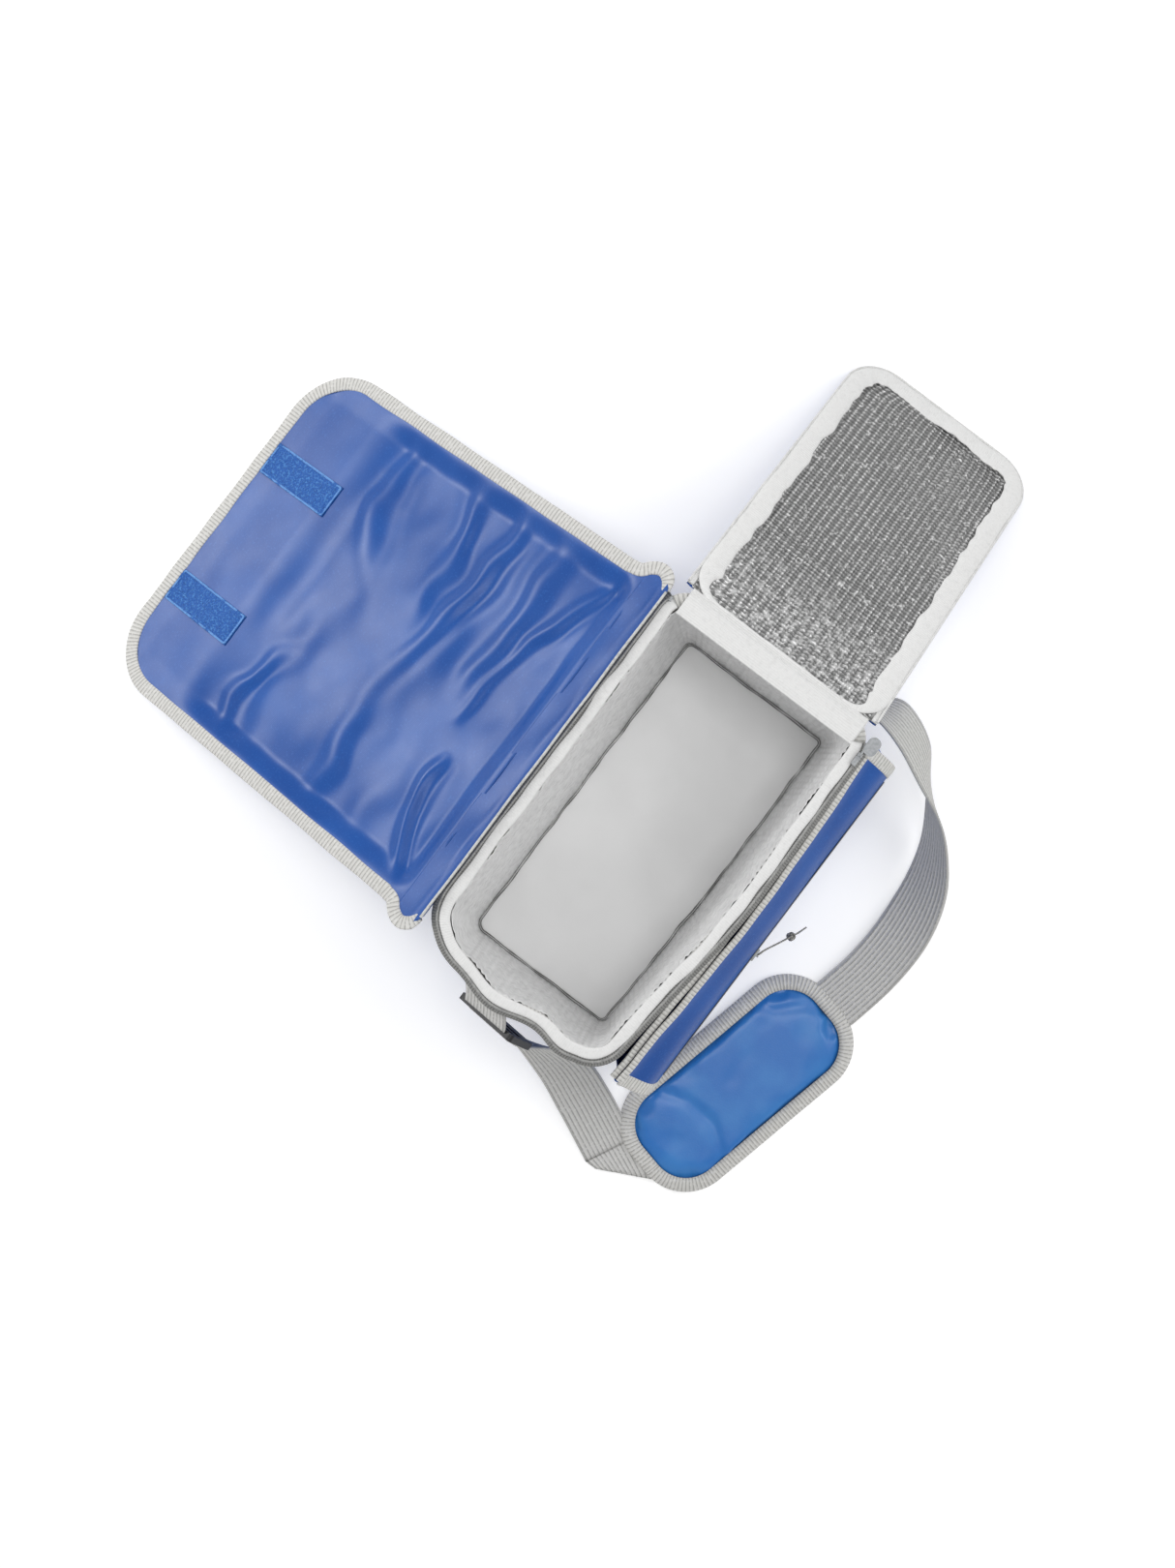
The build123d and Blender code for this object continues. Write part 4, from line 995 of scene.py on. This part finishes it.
def hook_strips():
    """The flap's two hook strips with their sewn borders."""
    for number, x0 in enumerate(HOOK_AT):
        xs = np.linspace(x0 - HOOK_HALF, x0 + HOOK_HALF, 26) * MM
        ss = np.linspace(HOOK_START, HOOK_END, 60) * MM
        s_grid, x_grid = np.meshgrid(ss, xs, indexing="ij")
        place = np.stack([x_grid, s_grid], axis=-1)
        edge = np.minimum(HOOK_HALF * MM - np.abs(x_grid - x0 * MM), np.minimum(s_grid - ss[0], ss[-1] - s_grid))
        lift = 0.95 + 0.2 * ripples(place, 5 * MM, 58) - 0.4 * bell(edge, 2.2 * MM, 0.7 * MM)
        h = flap_height(x_grid, s_grid) + lift * MM
        made = sheet(f"hook_strip_{number}", on_flap(x_grid, s_grid, h), 1.0 * MM, "hook_tape",
                     body="flap_front", stands_for=["flap_hook_strips"][number:])
        inset = 0.8         # from the strip's edge to its sewn border, in millimetres
        near, far, start, end = x0 - HOOK_HALF + inset, x0 + HOOK_HALF - inset, HOOK_START + inset, HOOK_END - inset
        corners = np.array([(near, start), (far, start), (far, end), (near, end)]) * MM
        border = even(rounded(corners, [1.2 * MM] * 4, 6, 20), 1.2 * MM)
        path = on_flap(border[:, 0], border[:, 1], flap_height(border[:, 0], border[:, 1]) + 1.35 * MM)
        inner = -outward(border)
        across = inner[:, :1] * np.array(ALONG_X) + inner[:, 1:] * FLAP_OUTWARD
        sweep(f"hook_strip_edge_{number}", path, across, FLAP_UP, bar(1.5 * MM, 0.5 * MM, 8, 2), "hook_tape",
              closed=True, look="hook_edge", body="flap_front")


# ---- Strap, buckle tabs and pad ----
STRAP = 38 * MM
LEFT_ACROSS = (0, 0.85, -0.53)
RIGHT_ACROSS = (0, 0.3, -0.954)
LEFT_RUN = [     # the middle of the strap in millimetres, and the direction across it
    ((-159.3, 3.0, 111.0), LEFT_ACROSS), ((-159.4, -9.0, 91.6), LEFT_ACROSS),
    ((-158.5, -32.0, 63.0), (-0.4, 0.75, -0.5)),
    ((-162.5, -58.0, 38.0), (-0.75, 0.55, -0.3)), ((-174.0, -84.0, 18.0), (-0.88, 0.46, -0.1)),
    ((-185.0, -106.0, 7.0), (-0.89, 0.45, 0)), ((-192.7, -121.5, 2.9), (-0.89, 0.45, 0)),
]
RIGHT_RUN = [
    ((149.0, -11.0, 100.4), RIGHT_ACROSS), ((150.4, -23.0, 96.5), RIGHT_ACROSS),
    ((153.0, -48.0, 92.0), (0.25, 0.2, -0.93)),
    ((157.0, -78.0, 90.5), (0.5, 0.1, -0.85)), ((157.5, -98.0, 86.0), (0.72, 0.1, -0.68)),
    ((148.5, -126.0, 64.0), (0.7, 0.1, -0.7)), ((131.0, -152.0, 42.0), (0.35, 0.35, -0.86)),
    ((110.0, -172.0, 27.5), (0.15, 0.5, -0.85)), ((84.0, -185.0, 20.5), (0.12, 0.75, -0.62)),
    ((52.0, -192.0, 12.5), (0.05, 0.95, -0.3)), ((20.0, -192.0, 7.0), (-0.02, 1, -0.06)),
    ((-9.0, -187.0, 5.6), (0.22, 0.975, 0)), ((-21.0, -184.0, 5.4), (0.22, 0.975, 0)),
]
FOLD = [    # rows of the left run's folded end: one edge, the other edge, height
    ((-209.6, -113.0), (-175.8, -130.0), 2.75), ((-209.6, -118.0), (-186.0, -150.0), 2.75),
    ((-209.2, -121.0), (-190.2, -158.0), 2.5), ((-209.6, -121.2), (-190.6, -158.2), 1.85),
    ((-209.0, -120.9), (-190.0, -157.9), 1.15), ((-197.0, -122.5), (-188.0, -158.0), 1.0),
    ((-187.5, -125.0), (-186.4, -157.8), 1.0),
]


def ribbon(stations, count, columns=14):
    """Rows of points across a strap that follows the stations."""
    data = []
    for number, (centre, across) in enumerate(stations):
        before = np.array(stations[max(number - 1, 0)][0])
        after = np.array(stations[min(number + 1, len(stations) - 1)][0])
        along = unit(after - before)
        across = np.array(across, float)
        across = unit(across - along * (along @ across))
        data.append([*centre, *across])
    fine = smooth_path(data, count)
    centre, across = fine[:, :3] * MM, unit(fine[:, 3:])
    share = np.linspace(-0.5, 0.5, columns)
    return centre[:, None] + across[:, None] * (share * STRAP)[None, :, None]


def strap():
    """Both webbing runs and the tabs that hold the buckle and ring."""
    left = ribbon(LEFT_RUN, 70)
    rows = []
    for first, second, z in FOLD:
        share = np.linspace(0, 1, left.shape[1])[:, None]
        start, end = np.array([*second, z]) * MM, np.array([*first, z]) * MM
        rows.append(start * (1 - share) + end * share)
    fold = np.stack(rows)
    if np.linalg.norm(fold[0, 0] - left[-1, 0]) > np.linalg.norm(fold[0, -1] - left[-1, 0]):
        fold = fold[:, ::-1]
    fine = np.stack([smooth_path(fold[:, c], 24) for c in range(fold.shape[1])], axis=1)
    rows = np.concatenate([left, fine], axis=0)
    for name, grid_rows, node in (("strap_webbing_left", rows, "strap_left"),
                                  ("strap_webbing_right", ribbon(RIGHT_RUN, 170), "strap_right")):
        made = sheet(name, grid_rows, 1.4 * MM, "webbing", body="bag", stands_for=[node])
    tabs = {
        "anchor_tab_left": [((-143.4, 17.0, 131.5), LEFT_ACROSS), ((-147.0, 13.5, 127.0), LEFT_ACROSS),
                            ((-151.6, 10.4, 122.6), LEFT_ACROSS), ((-155.6, 8.2, 119.3), LEFT_ACROSS)],
        "anchor_tab_right": [((138.8, 7.0, 104.0), RIGHT_ACROSS), ((139.8, 1.0, 103.0), RIGHT_ACROSS),
                             ((143.6, -3.0, 102.0), RIGHT_ACROSS), ((147.4, -5.0, 101.4), RIGHT_ACROSS)],
    }
    for node, stations in tabs.items():
        made = sheet(node + "_webbing", ribbon(stations, 16), 1.3 * MM, "webbing", body="bag",
                     stands_for=[node])


def pad_point(u, v, z):
    """A point in the shoulder pad's own axes."""
    turn = math.radians(-13)
    u, v, z = np.broadcast_arrays(u, v, z)
    x = -102 * MM + u * math.cos(turn) - v * math.sin(turn)
    y = -164 * MM + u * math.sin(turn) + v * math.cos(turn)
    return np.stack([x, y, z], axis=-1)


def pad_outline(inset):
    """The pad's outline in its own axes."""
    a, b, r = 89 * MM - inset, 44 * MM - inset, 36 * MM - inset
    return rounded([(-a, -b), (a, -b), (a, b), (-a, b)], [r] * 4, 24, 60)


def pad():
    """A stuffed satin cover swollen by simulation, its mesh back and its ribbed binding."""
    outline = pad_outline(4.5 * MM)
    rows = []
    for share, z in ((0.03, 8.6), (0.25, 8.6), (0.5, 8.5), (0.75, 8.2), (0.93, 7.4), (1.0, 5.0), (0.97, 2.4),
                     (0.8, 1.6), (0.5, 1.5), (0.25, 1.5), (0.03, 1.5)):
        rows.append(level(outline * share, z * MM))
    points = np.stack(rows)
    count = points.shape[1]
    flat = points.reshape(-1, 3)
    middle = [np.array([0, 0, 8.6 * MM]), np.array([0, 0, 1.5 * MM])]
    flat = np.vstack([flat, *middle])
    world = pad_point(flat[:, 0], flat[:, 1], flat[:, 2])
    faces, _ = grid(len(rows), count, np.zeros(count + 1), np.zeros(len(rows)), True)
    faces = faces[:, ::-1].tolist()
    top, low = len(flat) - 2, len(flat) - 1
    last = (len(rows) - 1) * count
    for c in range(count):
        d = (c + 1) % count
        faces.append([top, c, d])
        faces.append([low, last + d, last + c])
    made = piece("shoulder_pad_cover", world, faces, None, "pad_satin", body="bag",
                 stands_for=["pad_foam", "pad_cover"])
    scene = bpy.context.scene
    bpy.context.view_layer.objects.active = made
    made.select_set(True)
    remesh = made.modifiers.new("remesh", "REMESH")
    remesh.mode = "VOXEL"
    remesh.voxel_size = 3.4 * MM
    remesh.use_smooth_shade = True
    bpy.ops.object.modifier_apply(modifier=remesh.name)
    before = np.array([v.co[:] for v in made.data.vertices])
    cloth = made.modifiers.new("cloth", "CLOTH")
    cloth.settings.use_pressure = True
    cloth.settings.uniform_pressure_force = 4
    cloth.settings.effector_weights.gravity = 0
    cloth.settings.quality = 6
    scene.frame_start, scene.frame_end = 1, 20
    for step in range(1, 21):
        scene.frame_set(step)
    bpy.ops.object.modifier_apply(modifier=cloth.name)
    scene.frame_set(1)
    after = np.array([v.co[:] for v in made.data.vertices])
    move = after - before
    size = np.linalg.norm(move, axis=1, keepdims=True)
    after = before + move * np.minimum(1, 3.2 * MM / np.maximum(size, 1e-9))
    # Folds: a long curved one across the middle, and a pleat at the end by the strap
    local = after[:, :2] - np.array([-102 * MM, -164 * MM])
    turn = math.radians(13)
    u = local[:, 0] * math.cos(turn) - local[:, 1] * math.sin(turn)
    v = local[:, 0] * math.sin(turn) + local[:, 1] * math.cos(turn)
    place = np.stack([u, v], axis=-1) / MM
    upper = ease(after[:, 2], 5 * MM, 8 * MM)
    valley = crease(place, [(-40, -34), (-30, -10), (-34, 14), (-46, 34)], 3.2)
    ridge = crease(place, [(-34, -34), (-23, -10), (-27, 14), (-38, 34)], 4.0)
    pleat = crease(place, [(44, 36), (54, 22), (70, 12)], 3.0)
    after[:, 2] += upper * MM * (-1.7 * valley + 0.9 * ridge - 1.5 * pleat + 0.35 * ripples(place, 16, 61))
    after[:, 2] = np.minimum(after[:, 2], 11.5 * MM)
    after[:, 2] = np.maximum(after[:, 2], 0.9 * MM)
    made.data.vertices.foreach_set("co", after.astype(np.float32).ravel())
    soft = made.modifiers.new("smooth", "SUBSURF")
    soft.levels = soft.render_levels = 1
    made.data.polygons.foreach_set("use_smooth", [True] * len(made.data.polygons))
    made.select_set(False)
    outline = pad_outline(2.6 * MM)
    rows = disk(outline, 0.6 * MM, 14)
    sheet("pad_mesh_back", pad_point(rows[..., 0], rows[..., 1], rows[..., 2]), 0.6 * MM, "pad_backing",
          closed=True, body="bag", stands_for=["pad_backing"])
    flat = even(pad_outline(0), 1.3 * MM)
    normal = outward(flat)
    path = pad_point(flat[:, 0], flat[:, 1], np.zeros(len(flat)))
    turned = pad_point(flat[:, 0] + normal[:, 0], flat[:, 1] + normal[:, 1], np.zeros(len(flat))) - path
    profile = np.array([(-10.6, 9.7), (-6.0, 9.2), (-2.0, 7.8), (0.0, 5.4), (-0.2, 2.4), (-1.6, 0.5),
                        (-8.0, 0.2), (-8.0, 1.1), (-3.0, 1.6), (-2.0, 3.4), (-2.2, 5.4), (-4.0, 7.2),
                        (-7.0, 8.2), (-10.4, 8.8)]) * MM
    loops = scaled(profile, 1, 1 + 0.05 * ripples(path, 14 * MM, 63))
    sweep("pad_binding_tape", path, turned, UPWARD, loops, "binding", closed=True, body="bag",
          stands_for=["pad_binding"])


# ---- Pull cord ----
CORD = [(-20.4, -109.9, 100.5), (-16.0, -111.5, 97.0), (-10.0, -115.5, 90.0), (-4.0, -119.5, 82.0),
        (1.0, -122.7, 74.5), (3.5, -124.5, 71.0), (8.0, -127.3, 66.0), (13.5, -129.7, 61.5)]
CORD_THICK = 1.1 * MM


def strand(name, points):
    """A limp cord along given points."""
    curve = bpy.data.curves.new(name, "CURVE")
    curve.dimensions = "3D"
    spline = curve.splines.new("NURBS")
    spline.points.add(len(points) - 1)
    for spot, place in zip(spline.points, points):
        spot.co = (*(np.array(place) * MM), 1)
    spline.order_u = 3
    spline.use_endpoint_u = True
    spline.resolution_u = 8
    curve.bevel_depth = CORD_THICK / 2
    curve.bevel_resolution = 3
    curve.use_fill_caps = True
    made = bpy.data.objects.new(name, curve)
    bpy.context.scene.collection.objects.link(made)
    made.data.materials.append(FINISHES["pull_cord"])
    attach(made, "pocket_slider")
    return made


def line_length(made):
    """The length of a curve's own line."""
    curve = made.data.copy()
    curve.bevel_depth = 0
    bare = bpy.data.objects.new("measure", curve)
    mesh = bpy.data.meshes.new_from_object(bare)
    points = np.array([v.co[:] for v in mesh.vertices])
    bpy.data.objects.remove(bare)
    return float(np.linalg.norm(np.diff(points, axis=0), axis=1).sum())


def pull_cord():
    """The doubled cord on the pocket's slider, with its overhand knot."""
    main = strand("pull_cord_strand", CORD)
    second = strand("pull_cord_return", [(x + 0.9, y - 0.4, z + 0.9) for x, y, z in CORD[:7]] + [(11.0, -128.2, 65.2)])
    turns = np.linspace(0, 4 * math.pi, 70)
    centre = np.array([2.25, -123.6, 72.75])
    along = unit(np.array(CORD[5]) - np.array(CORD[4]))
    side = unit(np.cross(along, [0, 0, 1.0]))
    rise = np.cross(side, along)
    loop = (centre + np.outer(2.0 * np.cos(turns), side) + np.outer(2.0 * np.sin(turns), rise)
            + np.outer(1.5 * np.sin(turns / 2 + 0.6), along)) * MM
    tangent = unit(np.gradient(loop, axis=0))
    out = unit(loop - centre * MM)
    knot = sweep("pull_knot_turns", loop, unit(np.cross(tangent, out)), out, bar(1.9 * MM, 1.9 * MM, 10, 2),
                 "pull_cord", body="pocket_slider", stands_for=["pocket_pull_knot"])
    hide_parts("pocket_pull_cord")
    line_length(main)


# ---- Kept frame parts: rounded edges and their own finishes ----
def kept_parts():
    """Hard parts keep their CAD shape, with softened edges."""
    looks = {"ladder_lock": "black_plastic", "strap_ring": "black_plastic", "lid_zip_slider": "zip_metal",
             "lid_zip_pull": "zip_metal", "pocket_zip_slider": "zip_metal", "body_zip_stops": "zip_metal",
             "base_board": "board", "foam_base": "foam"}
    for node, look in looks.items():
        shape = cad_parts[node]
        for spot in shape.material_slots:
            spot.material = FINISHES[look]
        if look in ("black_plastic", "zip_metal"):
            rounding = shape.modifiers.new("rounding", "BEVEL")
            rounding.width = (0.9 if look == "black_plastic" else 0.35) * MM
            rounding.segments = 3
            rounding.limit_method = "ANGLE"
            rounding.angle_limit = math.radians(35)
            rounding.use_clamp_overlap = True


# ---- Stage: floor, light and camera ----
def stage():
    """A plain pale floor, soft light and a camera straight above."""
    ground = bpy.data.meshes.new("floor")
    reach = 4.0
    ground.from_pydata([(-reach, -reach, -0.0004), (reach, -reach, -0.0004), (reach, reach, -0.0004),
                        (-reach, reach, -0.0004)], [], [[0, 1, 2, 3]])
    floor = bpy.data.objects.new("studio_floor", ground)
    bpy.context.scene.collection.objects.link(floor)
    paint = bpy.data.materials.new("studio_white")
    paint.use_nodes = True
    shader = paint.node_tree.nodes["Principled BSDF"]
    shader.inputs["Base Color"].default_value = (0.93, 0.93, 0.93, 1)
    shader.inputs["Emission Color"].default_value = (1, 1, 1, 1)
    shader.inputs["Emission Strength"].default_value = 0.25
    shader.inputs["Roughness"].default_value = 0.9
    shader.inputs["Specular IOR Level"].default_value = 0.1
    floor.data.materials.append(paint)
    world = bpy.data.worlds.new("studio")
    bpy.context.scene.world = world
    world.use_nodes = True
    world.node_tree.nodes["Background"].inputs["Color"].default_value = (1, 1, 1, 1)
    world.node_tree.nodes["Background"].inputs["Strength"].default_value = 0.5
    for name, place, size, power in (("key", (-0.045, 1.594, 0.895), 0.42, 11), ("top", (0.15, 0.0, 2.3), 0.9, 12),
                                     ("fill", (0.9, -0.9, 1.3), 1.2, 8)):
        light = bpy.data.lights.new(name, "AREA")
        light.energy = power
        light.size = size
        lamp = bpy.data.objects.new(name, light)
        bpy.context.scene.collection.objects.link(lamp)
        lamp.location = place
        lamp.rotation_euler = (Vector((0, 0, 0.05)) - Vector(place)).to_track_quat("-Z", "Y").to_euler()
    bpy.context.scene.view_settings.view_transform = "Standard"
    camera = bpy.data.cameras.new("camera")
    camera.lens = 43.82
    camera.sensor_width = 36
    camera.clip_end = 20
    holder = bpy.data.objects.new("camera", camera)
    bpy.context.scene.collection.objects.link(holder)
    right, up = Vector((0.602, -0.798, 0)).normalized(), Vector((0.798, 0.602, 0)).normalized()
    view = Matrix((right, up, right.cross(up))).transposed().to_4x4()
    holder.matrix_world = Matrix.Translation((0.002, 0.045, 1.339)) @ view
    bpy.context.scene.camera = holder


stage()
pull_cord()
liner()
shell()
rim()
pocket()
lid()
flap()
flap_hinge()
hook_strips()
strap()
pad()
kept_parts()
